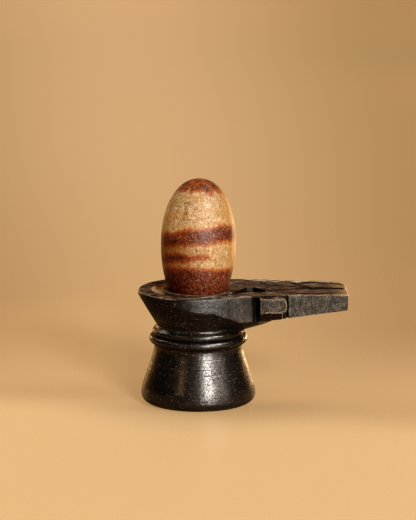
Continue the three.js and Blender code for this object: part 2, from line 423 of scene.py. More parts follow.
class Desk:
    """Lays out the nodes of one material or group."""

    def __init__(self, tree: bpy.types.NodeTree) -> None:
        """Starts on a node tree, with nothing measured yet."""
        self.tree = tree
        self.known: dict[Axis, Socket] = {}

    def feed(self, socket: Socket, value: object) -> None:
        """Links a socket to another, or sets its value.

        Args:
            socket: The input.
            value: An output socket or a constant.
        """
        if isinstance(value, bpy.types.NodeSocket):
            self.tree.links.new(value, socket)
        elif socket.type == "RGBA" and len(value) == 3:
            socket.default_value = (*value, 1.0)
        else:
            socket.default_value = value

    def fill(self, sockets: bpy.types.NodeInputs, values: dict[object, object]) -> None:
        """Feeds several inputs, given by name or number."""
        for label, value in values.items():
            self.feed(sockets[label], value)

    def node(
        self, kind: str, values: dict[object, object] | None = None, **settings: object
    ) -> bpy.types.Node:
        """Adds a node.

        Args:
            kind: The node's type.
            values: What feeds its inputs.
            **settings: Its properties.

        Returns:
            The new node.
        """
        made = self.tree.nodes.new(kind)
        for name, value in settings.items():
            setattr(made, name, value)
        self.fill(made.inputs, values or {})
        return made

    def math(
        self, operation: str, a: object, b: object = 0.0, c: object = 0.0, clamp: bool = False
    ) -> Socket:
        """One sum on two or three numbers.

        Args:
            operation: Name of the sum.
            a: First number or output.
            b: Second number or output.
            c: Third number or output, where the sum takes one.
            clamp: Whether the result stays from 0 to 1.

        Returns:
            The result.
        """
        made = self.node("ShaderNodeMath", {0: a, 1: b, 2: c}, operation=operation, use_clamp=clamp)
        return made.outputs[0]

    def product(self, *values: object) -> Socket:
        """All of the values multiplied."""
        return functools.reduce(functools.partial(self.math, "MULTIPLY"), values)

    def most(self, *values: object) -> Socket:
        """The greatest of the values."""
        return functools.reduce(functools.partial(self.math, "MAXIMUM"), values)

    def total(self, *parts: tuple[Socket, float]) -> Socket:
        """The sum of several values, each given with its weight."""
        return functools.reduce(
            functools.partial(self.math, "ADD"), [self.product(*part) for part in parts]
        )

    def rest(self, mask: Socket) -> Socket:
        """What a mask leaves, from 0 to 1."""
        return self.math("SUBTRACT", 1.0, mask, clamp=True)

    def between(self, value: Socket, low: object, high: object, to: Point2 = (0.0, 1.0)) -> Socket:
        """Eases a value from one bound to another.

        Args:
            value: The varying value.
            low: Where the easing starts.
            high: Where it ends.
            to: The values at both ends.

        Returns:
            The eased value.
        """
        bounds = {"From Min": low, "From Max": high, "To Min": to[0], "To Max": to[1]}
        values = {"Value": value, **bounds}
        made = self.node("ShaderNodeMapRange", values, interpolation_type="SMOOTHSTEP")
        return made.outputs["Result"]

    def blend(self, share: object, a: object, b: object, how: str = "MIX") -> Socket:
        """Mixes two colours.

        Args:
            share: How much of the second.
            a: First colour.
            b: Second colour.
            how: The way of mixing.

        Returns:
            The mixed colour.
        """
        values = {0: share, 6: a, 7: b}
        return self.node("ShaderNodeMix", values, data_type="RGBA", blend_type=how).outputs[2]

    def wash(self, tone: object, noise: Socket, wash: Wash, colour: object) -> Socket:
        """Washes a colour over a tone where a noise is strong.

        Args:
            tone: The colour underneath.
            noise: The noise.
            wash: Where the wash starts, where it is whole, and its share.
            colour: The colour that is washed over.

        Returns:
            The washed tone.
        """
        low, high, share = wash
        return self.blend(self.between(noise, low, high, (0.0, share)), tone, colour)

    def parts(self, vector: Socket) -> tuple[Socket, ...]:
        """The three parts of a vector."""
        return tuple(self.node("ShaderNodeSeparateXYZ", {0: vector}).outputs)

    def read(self, axis: Axis) -> Socket:
        """A measure of the place or of the facing, laid out where it is first asked for.

        Args:
            axis: What is measured.

        Returns:
            The measure.
        """
        if axis in self.known:
            return self.known[axis]
        if axis in PLACES:
            values = {0: self.place(), "Scale": 1 / MM}
            grown = self.node("ShaderNodeVectorMath", values, operation="SCALE")
            self.known.update(zip(PLACES, self.parts(grown.outputs[0])))
        elif axis in FACINGS:
            normal = self.node("ShaderNodeNewGeometry").outputs["Normal"]
            self.known.update(zip(FACINGS, self.parts(normal)))
        else:
            x, y = self.read(Axis.X), self.read(Axis.Y)
            if axis is Axis.OUT:
                self.known[axis] = self.math("SQRT", self.total((x, x), (y, y)))
            else:
                angle = self.math("ARCTAN2", x, self.product(y, -1.0))
                self.known[axis] = self.product(angle, 180 / math.pi)
        return self.known[axis]

    def zone(self, zone: Zone) -> Socket:
        """The mask of a zone."""
        return self.product(*(self.between(self.read(axis), low, high) for axis, low, high in zone))

    def place(self, scale: Point3 = (1, 1, 1), turn: Point3 = (0, 0, 0)) -> Socket:
        """The object's own coordinates, stretched and turned.

        Args:
            scale: Stretch along each axis.
            turn: Turn about each axis in degrees.

        Returns:
            The coordinates.
        """
        where = self.node("ShaderNodeTexCoord").outputs["Object"]
        if scale == (1, 1, 1) and turn == (0, 0, 0):
            return where
        turned = tuple(math.radians(a) for a in turn)
        values = {"Vector": where, "Scale": scale, "Rotation": turned}
        return self.node("ShaderNodeMapping", values, vector_type="POINT").outputs["Vector"]

    def noise(self, where: Socket, size: float, detail: float, rough: float) -> Socket:
        """Cloudy noise.

        Args:
            where: Coordinates.
            size: Size of its features in millimetres.
            detail: Finer layers.
            rough: How strong those are.

        Returns:
            The noise, about 0.5.
        """
        values = {"Vector": where, "Scale": 1 / (size * MM), "Detail": detail, "Roughness": rough}
        return self.node("ShaderNodeTexNoise", values).outputs["Fac"]

    def group(self, effect: str, **values: object) -> bpy.types.NodeOutputs:
        """Places a shared effect with its own values, and gives its outputs."""
        tree = bpy.data.node_groups[effect]
        return self.node("ShaderNodeGroup", values, node_tree=tree).outputs

    def flecks(self, where: Socket, size: float, level: object) -> Socket:
        """The mask of shared flecks of a size in millimetres, past a level of their noise."""
        return self.group("flecks", Vector=where, Scale=1 / (size * MM), Level=level)[0]

    def specks(self, where: Socket, size: float, share: float, radius: float) -> Socket:
        """The mask of shared specks, one in a share of the cells of a size in millimetres."""
        scale = 1 / (size * MM)
        return self.group("specks", Vector=where, Scale=scale, Share=share, Radius=radius)[0]

    def relief(self, height: Socket, depth: float, strength: float = 1.0) -> Socket:
        """The normal of a relief with a depth in millimetres."""
        values = {"Strength": strength, "Distance": depth * MM, "Height": height}
        return self.node("ShaderNodeBump", values).outputs[0]


def new_material(name: str) -> tuple[Material, Desk, bpy.types.NodeInputs]:
    """An empty material.

    Args:
        name: Its name.

    Returns:
        The material, a desk on its nodes, and its shader's inputs.
    """
    material = bpy.data.materials.new(name)
    material.use_nodes = True
    nodes = material.node_tree.nodes
    return material, Desk(material.node_tree), nodes["Principled BSDF"].inputs


def new_effect(
    name: str, takes: tuple[str, ...], gives: tuple[str, ...]
) -> tuple[Desk, bpy.types.NodeOutputs, bpy.types.NodeInputs]:
    """An empty shared effect.

    Args:
        name: The group's name.
        takes: Its inputs. The one named Vector is a vector, and the others are numbers.
        gives: Its outputs, which are numbers.

    Returns:
        A desk on the group, its input node's outputs and its output node's inputs.
    """
    tree = bpy.data.node_groups.new(name, "ShaderNodeTree")
    for way, labels in (("INPUT", takes), ("OUTPUT", gives)):
        for label in labels:
            kind = "NodeSocketVector" if label == "Vector" else "NodeSocketFloat"
            tree.interface.new_socket(name=label, in_out=way, socket_type=kind)
    desk = Desk(tree)
    return desk, desk.node("NodeGroupInput").outputs, desk.node("NodeGroupOutput").inputs


# How wide a speck is by chance (span, least), where it starts to fade, and how strong it is.
SPECK_WIDTH = (0.7, 0.45)
SPECK_CORE = 0.55
SPECK_WEIGHT = (0.3, 1.0)
# The finer layers of the flecks' noise, how strong those are, and how soft a fleck's edge is.
FLECK_DETAIL = 2.0
FLECK_ROUGH = 0.65
FLECK_EDGE = 0.07


def speck_effect() -> None:
    """Scattered mineral specks: from Vector, Scale, Share and Radius to their Mask."""
    desk, source, result = new_effect("specks", ("Vector", "Scale", "Share", "Radius"), ("Mask",))
    values = {"Vector": source["Vector"], "Scale": source["Scale"]}
    cells = desk.node("ShaderNodeTexVoronoi", values, feature="F1").outputs
    chance, width, weight = desk.node("ShaderNodeSeparateColor", {0: cells["Color"]}).outputs
    chosen = desk.math("LESS_THAN", chance, source["Share"])
    radius = desk.product(desk.math("MULTIPLY_ADD", width, *SPECK_WIDTH), source["Radius"])
    spot = desk.between(cells["Distance"], radius, desk.product(radius, SPECK_CORE))
    chosen = desk.product(chosen, desk.between(weight, 0.0, 1.0, SPECK_WEIGHT))
    desk.feed(result["Mask"], desk.product(spot, chosen))


def fleck_effect() -> None:
    """Ragged flecks: from Vector, Scale and Level to their Mask.

    They become broken scratches where the coordinates are stretched.
    """
    desk, source, result = new_effect("flecks", ("Vector", "Scale", "Level"), ("Mask",))
    where = {"Vector": source["Vector"], "Scale": source["Scale"]}
    layers = {"Detail": FLECK_DETAIL, "Roughness": FLECK_ROUGH}
    cloud = desk.node("ShaderNodeTexNoise", where | layers).outputs["Fac"]
    top = desk.math("ADD", source["Level"], FLECK_EDGE)
    desk.feed(result["Mask"], desk.between(cloud, source["Level"], top))


def band_effect() -> None:
    """One mineral band: from Height, Low, High, Soft and Rim to its Mask and its Core.

    The core is what lies between the rims at both edges.
    """
    takes = ("Height", "Low", "High", "Soft", "Rim")
    desk, source, result = new_effect("mineral_band", takes, ("Mask", "Core"))
    height, soft = source["Height"], source["Soft"]
    for label, inset in (("Mask", 0.0), ("Core", source["Rim"])):
        low = desk.math("ADD", source["Low"], inset)
        high = desk.math("SUBTRACT", source["High"], inset)
        above = desk.between(height, desk.math("SUBTRACT", low, soft), desk.math("ADD", low, soft))
        under = desk.between(height, desk.math("ADD", high, soft), desk.math("SUBTRACT", high, soft))
        desk.feed(result[label], desk.product(above, under))


# ---------------------------------------------------------------------------------------------
# Finishes
# ---------------------------------------------------------------------------------------------


@dataclass(frozen=True)
class BandedStoneFinish:
    """Cream river stone with red-brown mineral bands, polished by water.

    A band's edge is a run of (turn in degrees, height).
    """

    cream: Colour = (0.54, 0.335, 0.148)
    pale: Colour = (0.70, 0.545, 0.33)
    yellow: Colour = (0.48, 0.222, 0.050)
    tan: Colour = (0.24, 0.125, 0.042)
    olive_fleck: Colour = (0.075, 0.034, 0.009)
    # Painted shade, multiplied into the stone's lower left.
    lower_left_shade: Colour = (0.48, 0.34, 0.28)
    rim_orange: Colour = (0.44, 0.095, 0.012)
    band_red: Colour = (0.180, 0.039, 0.013)
    band_dark: Colour = (0.058, 0.015, 0.009)
    pale_grain: Colour = (0.52, 0.30, 0.19)
    # Near-white specks: partly pale grains of the stone, partly painted glints.
    glint_white: Colour = (0.92, 0.84, 0.70)

    patches: Cloud = (6.5, 4.0, 0.6)
    cloudy: Cloud = (2.4, 4.0, 0.62)
    granular: Cloud = (0.95, 3.0, 0.65)
    streaked: Cloud = (1.3, 3.0, 0.6)
    ragged: Cloud = (1.5, 4.0, 0.64)
    broad: Cloud = (5.0, 2.0, 0.5)
    mottle: Cloud = (1.3, 4.0, 0.68)
    fine: Cloud = (0.6, 3.0, 0.7)
    crown_cloud: Cloud = (1.9, 3.0, 0.7)

    yellow_patches: Wash = (0.46, 0.62, 0.7)
    pale_clouds: Wash = (0.50, 0.66, 0.8)
    pale_grains: Wash = (0.54, 0.64, 0.7)
    tan_grains: Wash = (0.46, 0.36, 0.8)
    yellow_streaks: Wash = (0.58, 0.72, 0.5)
    orange_mottle: Wash = (0.60, 0.72, 0.6)
    crown_orange: Wash = (0.46, 0.58, 0.8)
    fleck_crowd: Wash = (0.56, 0.42, 0.035)
    band_mottle: Point2 = (0.40, 0.60)
    rim_mottle: Point2 = (0.36, 0.56)

    fleck_level: float = 0.618
    streak_crowd: float = 0.09
    dark_size: float = 0.62
    halo_size: float = 1.10
    halo_drop: float = 0.04
    grains: Flecks = (0.55, 0.58)
    pores: Specks = (0.80, 0.42, 0.24)
    glint_specks: Specks = (0.70, 0.40, 0.26)
    dots: Specks = (0.75, 0.30, 0.28)

    streak: Zone = ((Axis.TURN, -36, -27), (Axis.TURN, -18, -27), (Axis.Z, 72, 76), (Axis.Z, 86, 82))
    # Painted shade: the stone's left flank washed with tan, fading out before the back.
    left_painted_shade: Zone = ((Axis.TURN, -46, -80), (Axis.TURN, -176, -115))
    # Painted shading: the stone's right flank washed with deeper yellow, fading out before the back.
    right_painted_shading: Zone = ((Axis.TURN, 36, 70), (Axis.TURN, 176, 115))
    # Painted shade: the lower left, below the middle band, fading out before the back.
    lower_left_painted_shade: Zone = ((Axis.TURN, 12, -45), (Axis.Z, 70, 66), (Axis.TURN, -176, -115))
    crown: Zone = ((Axis.Z, 83, 86),)
    left_shade_share: float = 0.58
    right_shading_share: float = 0.75
    halo_share: float = 0.55
    fleck_share: float = 0.85
    pore_share: float = 0.9
    glint_share: float = 0.8
    streak_stretch: Point3 = (1, 1, 0.35)
    glint_turn: Point3 = (20, 35, 10)
    grain_stretch: Point3 = (1.0, 1.0, 0.6)
    grain_turn: Point3 = (0, 18, 0)
    grain_mottle: Point2 = (0.34, 0.52)
    grain_share: Point2 = (0.15, 0.8)

    low_height: float = 30.0
    high_height: float = 100.0
    band_soft: float = 0.7
    ragged_reach: float = 3.3
    broad_reach: float = 1.2
    cap: tuple[Point2, ...] = (
        (-180, 85.2), (-130, 85.0), (-78, 85.8), (-34, 86.7), (-29, 87.4), (-25, 86.0), (-5, 86.6),
        (9, 86.2), (28, 84.6), (36, 84.9), (44, 86.0), (60, 84.9), (81, 85.4), (130, 85.8),
        (180, 85.2),
    )
    upper_top: tuple[Point2, ...] = (
        (-180, 70.2), (-130, 69.4), (-83, 69.7), (-61, 70.7), (-34, 71.6), (-27, 72.6),
        (-17, 73.0), (7, 72.8), (15, 73.0), (21, 73.6), (31, 74.0), (46, 73.7), (71, 73.0),
        (81, 72.3), (130, 71.2), (180, 70.2),
    )
    upper_low: tuple[Point2, ...] = (
        (-180, 63.2), (-130, 62.6), (-80, 63.6), (-48, 64.8), (-19, 65.7), (10, 65.9),
        (32, 66.5), (46, 66.5), (80, 65.5), (130, 64.0), (180, 63.2),
    )
    thin_top: tuple[Point2, ...] = (
        (-180, 57.8), (-130, 59.6), (-76, 60.8), (-58, 61.7), (-25, 62.9), (-19, 62.4),
        (7, 62.4), (14, 62.1), (17, 61.0), (26, 58.6), (60, 57.0), (180, 57.8),
    )
    thin_low: tuple[Point2, ...] = (
        (-180, 58.6), (-150, 57.6), (-130, 56.4), (-75, 57.1), (-32, 58.8), (-6, 59.9),
        (12, 60.3), (17, 61.0), (26, 62.6), (60, 63.0), (130, 61.0), (180, 58.6),
    )
    foot_top: tuple[Point2, ...] = (
        (-180, 54.2), (-130, 54.6), (-72, 55.8), (-36, 57.1), (-19, 57.6), (-5, 57.4),
        (21, 56.7), (34, 56.2), (68, 55.8), (130, 54.8), (180, 54.2),
    )
    cap_rim: float = 0.9
    middle_rim: float = 1.1
    foot_rim: float = 1.3

    roughness: Point2 = (0.28, 0.50)
    ior: float = 1.40
    relief_depth: float = 0.18
    rough_cloud: Point2 = (0.34, 0.66)
    fleck_relief: float = -0.5
    mottle_relief: float = 0.8

    def edge(self, desk: Desk, stations: tuple[Point2, ...]) -> Socket:
        """Height of a band's edge all round the stone.

        Args:
            desk: Where the nodes go.
            stations: The edge.

        Returns:
            The height in millimetres.
        """
        share = desk.math("MULTIPLY_ADD", desk.read(Axis.TURN), 1 / 360, 0.5)
        made = desk.node("ShaderNodeFloatCurve", {"Value": share})
        line = made.mapping.curves[0]
        span = self.high_height - self.low_height
        spots = [((turn + 180) / 360, (z - self.low_height) / span) for turn, z in stations]
        line.points[0].location = spots[0]
        line.points[1].location = spots[-1]
        for spot in spots[1:-1]:
            line.points.new(*spot)
        made.mapping.update()
        return desk.math("MULTIPLY_ADD", made.outputs[0], span, self.low_height)

    def bands(self, desk: Desk, height: Socket) -> tuple[Socket, Socket]:
        """Lays the four bands over each other.

        Args:
            desk: Where the nodes go.
            height: Height in millimetres, already made ragged.

        Returns:
            Masks of the whole bands and of what is inside their rims.
        """
        bands = (
            (self.edge(desk, self.cap), self.high_height, self.cap_rim),
            (self.edge(desk, self.upper_low), self.edge(desk, self.upper_top), self.middle_rim),
            (self.edge(desk, self.thin_low), self.edge(desk, self.thin_top), self.middle_rim),
            (self.low_height, self.edge(desk, self.foot_top), self.foot_rim),
        )
        masks, cores = [], []
        for low, high, rim in bands:
            made = desk.group(
                "mineral_band", Height=height, Low=low, High=high, Soft=self.band_soft, Rim=rim
            )
            masks.append(made["Mask"])
            cores.append(made["Core"])
        return desk.most(*masks), desk.most(*cores)

    def ground(self, desk: Desk) -> tuple[Socket, Socket]:
        """Colours the cream stone between the bands.

        Args:
            desk: Where the nodes go.

        Returns:
            The colour, and a mask of the dark flecks.
        """
        where = desk.place()
        patches = desk.noise(where, *self.patches)
        granular = desk.noise(where, *self.granular)
        tone = desk.wash(self.cream, patches, self.yellow_patches, self.yellow)
        tone = desk.wash(tone, desk.noise(where, *self.cloudy), self.pale_clouds, self.pale)
        tone = desk.wash(tone, granular, self.pale_grains, self.pale)
        tone = desk.wash(tone, granular, self.tan_grains, self.tan)
        streaked = desk.noise(desk.place(self.streak_stretch), *self.streaked)
        tone = desk.wash(tone, streaked, self.yellow_streaks, self.yellow)

        low, high, crowd = self.fleck_crowd
        level = desk.math("SUBTRACT", self.fleck_level, desk.between(patches, low, high, (0.0, crowd)))
        crowded = desk.product(desk.zone(self.streak), self.streak_crowd)
        level = desk.math("SUBTRACT", level, crowded)
        dark = desk.flecks(where, self.dark_size, level)
        halo = desk.flecks(where, self.halo_size, desk.math("SUBTRACT", level, self.halo_drop))
        turned = desk.place(turn=self.glint_turn)
        layers = (
            (halo, self.halo_share, self.tan),
            (dark, self.fleck_share, self.olive_fleck),
            (desk.specks(where, *self.pores), self.pore_share, self.olive_fleck),
            # Painted glints: near-white specks over the cream, partly pale grains.
            (desk.specks(turned, *self.glint_specks), self.glint_share, self.glint_white),
            # Painted shade on the left flank.
            (desk.zone(self.left_painted_shade), self.left_shade_share, self.tan),
            # Painted shading on the right flank.
            (desk.zone(self.right_painted_shading), self.right_shading_share, self.yellow),
        )
        for mask, share, colour in layers:
            tone = desk.blend(desk.product(mask, share), tone, colour)
        return tone, dark

    def inside(self, desk: Desk, core: Socket, mottle: Socket, fine: Socket) -> Socket:
        """Colours the bands.

        Args:
            desk: Where the nodes go.
            core: Mask of what is inside their rims.
            mottle: Broad noise.
            fine: Fine noise.

        Returns:
            The colour.
        """
        where = desk.place()
        red = desk.blend(desk.between(mottle, *self.band_mottle), self.band_dark, self.band_red)
        red = desk.wash(red, mottle, self.orange_mottle, self.rim_orange)
        low, high, share = self.crown_orange
        crown = desk.between(desk.noise(where, *self.crown_cloud), low, high, (0.0, share))
        red = desk.blend(desk.product(crown, desk.zone(self.crown)), red, self.rim_orange)
        rim = desk.blend(desk.between(fine, *self.rim_mottle), self.band_red, self.rim_orange)
        upright = desk.place(self.grain_stretch, self.grain_turn)
        light = desk.most(desk.flecks(upright, *self.grains), desk.specks(where, *self.dots))
        light = desk.product(light, desk.between(mottle, *self.grain_mottle, self.grain_share))
        return desk.blend(light, desk.blend(core, rim, red), self.pale_grain)

    def material(self) -> Material:
        """Builds the stone's material.

        Returns:
            The material.
        """
        material, desk, shader = new_material("banded_stone")
        where = desk.place()
        ragged = desk.math("SUBTRACT", desk.noise(where, *self.ragged), 0.5)
        broad = desk.math("SUBTRACT", desk.noise(where, *self.broad), 0.5)
        torn = desk.total(
            (desk.read(Axis.Z), 1.0), (ragged, self.ragged_reach), (broad, self.broad_reach)
        )
        mask, core = self.bands(desk, torn)
        ground, dark = self.ground(desk)
        mottle = desk.noise(where, *self.mottle)
        fine = desk.noise(where, *self.fine)
        whole = desk.blend(mask, ground, self.inside(desk, core, mottle, fine))
        pits = desk.total((fine, 1.0), (dark, self.fleck_relief), (mottle, self.mottle_relief))
        values = {
            # Painted shade: the lower left darkened by multiplying its colour.
            "Base Color": desk.blend(desk.zone(self.lower_left_painted_shade), whole, self.lower_left_shade, "MULTIPLY"),
            "Roughness": desk.between(fine, *self.rough_cloud, self.roughness),
            "IOR": self.ior,
            "Normal": desk.relief(pits, self.relief_depth),
        }
        desk.fill(shader, values)
        return material


@dataclass(frozen=True)
class BlackStoneFinish:
    """Carved soft stone, blackened and oiled, dull underneath and filed on the flats.

    The oil's shine is left off where the stone faces down, in its pits and in the carved lines. Its
    colour also holds painted shade in the carved recesses and at the waist, painted light on the
    basin's far part and at the tip, painted glints along the far rim, painted highlights on its worn
    edges, and a painted reflection of the backdrop in the brown of its upper faces.
    """

    black: Colour = (0.0050, 0.0046, 0.0044)
    brown: Colour = (0.0115, 0.0078, 0.0058)
    rubbed: Colour = (0.024, 0.014, 0.009)
    grey_speck: Colour = (0.42, 0.39, 0.35)
    file_dark: Colour = (0.020, 0.018, 0.016)
    file_light: Colour = (0.165, 0.153, 0.138)
    top_dark: Colour = (0.007, 0.004, 0.003)
    # Brown of the upper faces, partly a painted reflection of the tan backdrop.
    top_brown_and_reflection: Colour = (0.155, 0.087, 0.051)
    # Painted light on the basin's far part; its near part stays dark.
    basin_painted_light: Colour = (0.90, 0.52, 0.27)
    top_dash: Colour = (0.36, 0.28, 0.21)
    # Light edges: partly real wear, partly painted highlights on the rounded edges.
    worn_and_highlit_edge: Colour = (0.46, 0.36, 0.27)
    # Painted glints: bright dashes along the far rim of the top.
    far_rim_painted_glint: Colour = (0.85, 0.72, 0.58)
    # Painted glow of light from behind on the tip, over its worn top and edges.
    tip_painted_glow: Colour = (0.62, 0.36, 0.17)

    spout: Zone = ((Axis.X, 11.0, 18.0),)
    near_flat: Zone = ((Axis.X, 11.0, 18.0), (Axis.FACE_Y, -0.76, -0.91), (Axis.Z, 34.5, 35.5))
    scoop: Zone = ((Axis.X, 20.6, 21.1), (Axis.X, 23.8, 23.3), (Axis.FACE_Z, 0.5, 0.3))
    scoop_back: Zone = ((Axis.Y, -14.0, -15.0),)
    under: Zone = ((Axis.FACE_Z, -0.08, -0.34),)
    top: Zone = ((Axis.FACE_Z, 0.70, 0.92), (Axis.Z, 43.5, 45.2))
    off_border: Zone = ((Axis.Y, -14.5, -14.0), (Axis.Y, 11.5, 11.0), (Axis.X, 58.3, 57.8))
    lined: Zone = ((Axis.X, 26.5, 27.5),)
    open_facing: Zone = ((Axis.FACE_Z, 0.2, 0.5),)
    wall_facing: Zone = ((Axis.FACE_Z, 0.92, 0.78),)
    below_top: Zone = ((Axis.Z, 45.75, 45.5), (Axis.X, 15.0, 17.0))
    above_lines: Zone = ((Axis.Z, 42.0, 43.0),)
    crease: Zone = (
        (Axis.X, 30.2, 31.0), (Axis.X, 35.25, 35.05), (Axis.Z, 45.9, 45.6),
        (Axis.Y, -13.0, -13.5), (Axis.Y, -16.6, -16.1),
    )
    basin: Zone = (
        (Axis.OUT, 19.4, 19.0), (Axis.Z, 45.9, 45.5), (Axis.Z, 43.0, 43.8), (Axis.X, 16.0, 14.0),
    )
    far_part: Zone = ((Axis.X, 18.0, 22.0),)
    far_rim: Point2 = (17.4, 18.4)
    far_slant: float = 0.19
    border: Point2 = (22.3, 23.0)
    border_share: float = 0.75
    spout_border: Zone = ((Axis.X, 18.0, 24.0),)
    upper_edge: Zone = ((Axis.FACE_Z, 0.25, 0.45), (Axis.FACE_Z, 0.90, 0.75), (Axis.Z, 43.0, 44.0))
    lower_edge: Zone = (
        (Axis.FACE_Z, -0.14, -0.26), (Axis.FACE_Z, -0.62, -0.48), (Axis.Z, 35.0, 36.0),
    )
    corner: Zone = (
        (Axis.FACE_Y, -0.30, -0.50), (Axis.FACE_Y, -0.96, -0.84), (Axis.FACE_X, 0.2, 0.35),
    )
    past_waist: Zone = ((Axis.X, 23.0, 24.0),)
    tip: Zone = ((Axis.X, 51.0, 59.0),)
    waist: Zone = ((Axis.X, 16.0, 17.0), (Axis.X, 22.3, 21.3))
    crack_x: float = 44.4
    crack_half: float = 0.40
    crack_wander: float = 3.0

    mottle: Cloud = (2.6, 4.0, 0.6)
    fine: Cloud = (0.55, 3.0, 0.75)
    turned: Cloud = (0.55, 2.0, 0.6)
    streaks: Cloud = (1.5, 3.0, 0.6)
    grain: Cloud = (0.50, 1.0, 0.5)
    chalk: Flecks = (0.75, 0.59)
    cut: Flecks = (0.62, 0.50)
    pits: Flecks = (0.68, 0.52)
    far_rim_glint_flecks: Flecks = (1.1, 0.50)
    strokes: Flecks = (0.60, 0.53)
    dust: Specks = (0.62, 0.40, 0.28)
    brown_mottle: Point2 = (0.46, 0.66)
    brown_streaks: Point2 = (0.40, 0.58)
    rubbed_share: float = 0.8
    rubbed_turned: Point2 = (0.50, 0.62)
    basin_cloud: Point2 = (0.38, 0.60)
    basin_share: Point2 = (0.15, 0.9)
    basin_lit: Point2 = (-7.0, 3.0)
    basin_light: Point2 = (0.05, 1.0)
    worn_cloud: Point2 = (0.42, 0.60)
    worn_share: Point2 = (0.05, 0.85)
    dust_share: float = 0.9
    tip_glow_share: float = 0.5
    # Painted shade in the carved recesses.
    recess_shade_share: float = 0.9
    grit_levels: Point2 = (0.36, 0.70)
    grit_mottle: float = 0.6
    stroke_shares: Point2 = (0.70, 0.30)
    waist_shade: float = 0.55
    stroke_stretch: Point3 = (1, 1, 0.16)
    turned_stretch: Point3 = (0.06, 0.06, 1.0)
    along_stretch: Point3 = (0.20, 1, 1)
    pit_stretch: Point3 = (1, 1, 1.3)
    cut_stretch: Point3 = (0.14, 1, 1)

    upper_part: Point2 = (35.0, 39.0)
    upper_oil: Point2 = (1.0, 0.20)
    upper_dry: Point2 = (-0.40, 0.40)
    dry_streaks: Point2 = (0.36, 0.62)
    top_dry: Point2 = (1.0, 0.78)
    under_dry: float = 0.7
    basin_dry: float = 0.75
    flat_dry: float = 0.80
    pit_dry: float = 0.9
    oil_turned: Point2 = (0.36, 0.56)
    oil_share: Point2 = (0.55, 1.0)
    gloss_cloud: Point2 = (0.30, 0.70)
    dry_roughness: float = 0.90
    flat_roughness: float = 0.60
    grain_relief: float = 0.35
    turned_relief: float = 0.30
    pit_relief: float = -0.45
    grit_relief: float = 1.6
    cut_relief: float = -1.2

    ior: float = 1.28
    gloss: Point2 = (0.24, 0.40)
    oil_roughness: float = 0.26
    oil_ior: float = 1.50
    relief_depth: float = 0.10

    def shaded_recess(self, desk: Desk, off_border: Socket, scoop: Socket) -> Socket:
        """Finds the carved lines, the pocket, the scoop and the crease.

        Args:
            desk: Where the nodes go.
            off_border: Mask of the top inside its border.
            scoop: Mask of the scoop.

        Returns:
            Their mask, which gets painted shade.
        """
        lined = desk.zone(self.lined)
        walls = desk.most(desk.zone(self.open_facing), lined)
        shaded_recess = desk.product(desk.zone(self.below_top), walls)
        shaded_recess = desk.most(shaded_recess, desk.product(lined, desk.zone(self.wall_facing)))
        shaded_recess = desk.product(shaded_recess, off_border, desk.zone(self.above_lines))
        scooped = desk.product(scoop, desk.zone(self.scoop_back))
        return desk.most(shaded_recess, scooped, desk.zone(self.crease))

    def zones(self, desk: Desk) -> dict[str, Socket]:
        """Finds the stand's parts by their place and the way they face.

        Args:
            desk: Where the nodes go.

        Returns:
            Masks of the filed flats, the underside, the top, the recesses that get painted shade, the
            basin's far part that gets painted light, the high part, the tip, the far rim and the worn
            edges with painted highlights.
        """
        scoop, top, off_border = map(desk.zone, (self.scoop, self.top, self.off_border))
        x, y, z = map(desk.read, PLACES)
        far = desk.between(desk.math("MULTIPLY_ADD", x, self.far_slant, y), *self.far_rim)
        border = desk.between(desk.read(Axis.OUT), *self.border, (0.0, self.border_share))
        border = desk.most(border, desk.zone(self.spout_border))
        border = desk.product(border, desk.rest(desk.product(off_border, desk.zone(self.spout))))
        edges = desk.most(desk.zone(self.lower_edge), desk.zone(self.corner))
        edges = desk.product(edges, desk.zone(self.past_waist))
        # Painted light: only the far part of the basin is lit.
        lit = desk.between(y, *self.basin_lit, self.basin_light)
        return {
            "flat": desk.product(desk.zone(self.near_flat), desk.rest(scoop)),
            "under": desk.zone(self.under),
            "top": top,
            "shaded_recess": self.shaded_recess(desk, off_border, scoop),
            "basin": desk.product(desk.zone(self.basin), lit),
            "high": desk.between(z, *self.upper_part, self.upper_oil),
            "tip": desk.zone(self.tip),
            "rim": desk.product(far, desk.zone(self.far_part), top),
            "edge": desk.most(desk.product(desk.zone(self.upper_edge), border), edges),
        }

    def filed(self, desk: Desk, fine: Socket, mottle: Socket) -> tuple[Socket, Socket]:
        """Colours the filed flats, with upright strokes at the waist and one crack.

        Args:
            desk: Where the nodes go.
            fine: Fine noise.
            mottle: Broad noise.

        Returns:
            The colour, and the grit's height.
        """
        strokes = desk.flecks(desk.place(self.stroke_stretch), *self.strokes)
        broad = desk.math("SUBTRACT", mottle, 0.5)
        grit = desk.between(desk.total((fine, 1.0), (broad, self.grit_mottle)), *self.grit_levels)
        waist = desk.zone(self.waist)
        stroke_share = desk.product(strokes, desk.math("MULTIPLY_ADD", waist, *self.stroke_shares))
        grit = desk.math("SUBTRACT", grit, stroke_share, clamp=True)
        middle = self.crack_x + self.crack_wander / 2
        wander = desk.math("MULTIPLY_ADD", mottle, self.crack_wander, -middle)
        off_crack = desk.math("ABSOLUTE", desk.math("ADD", desk.read(Axis.X), wander))
        grit = desk.product(grit, desk.between(off_crack, self.crack_half / 2, self.crack_half))
        # Painted shade: the filed flats darker at the waist.
        light = desk.blend(desk.product(waist, self.waist_shade), self.file_light, self.file_dark)
        return desk.blend(grit, self.file_dark, light), grit

    def material(self) -> Material:
        """Builds the stand's material.

        Returns:
            The material.
        """
        material, desk, shader = new_material("black_stone")
        where = desk.place()
        zone = self.zones(desk)
        flat, under, top, shaded_recess = zone["flat"], zone["under"], zone["top"], zone["shaded_recess"]

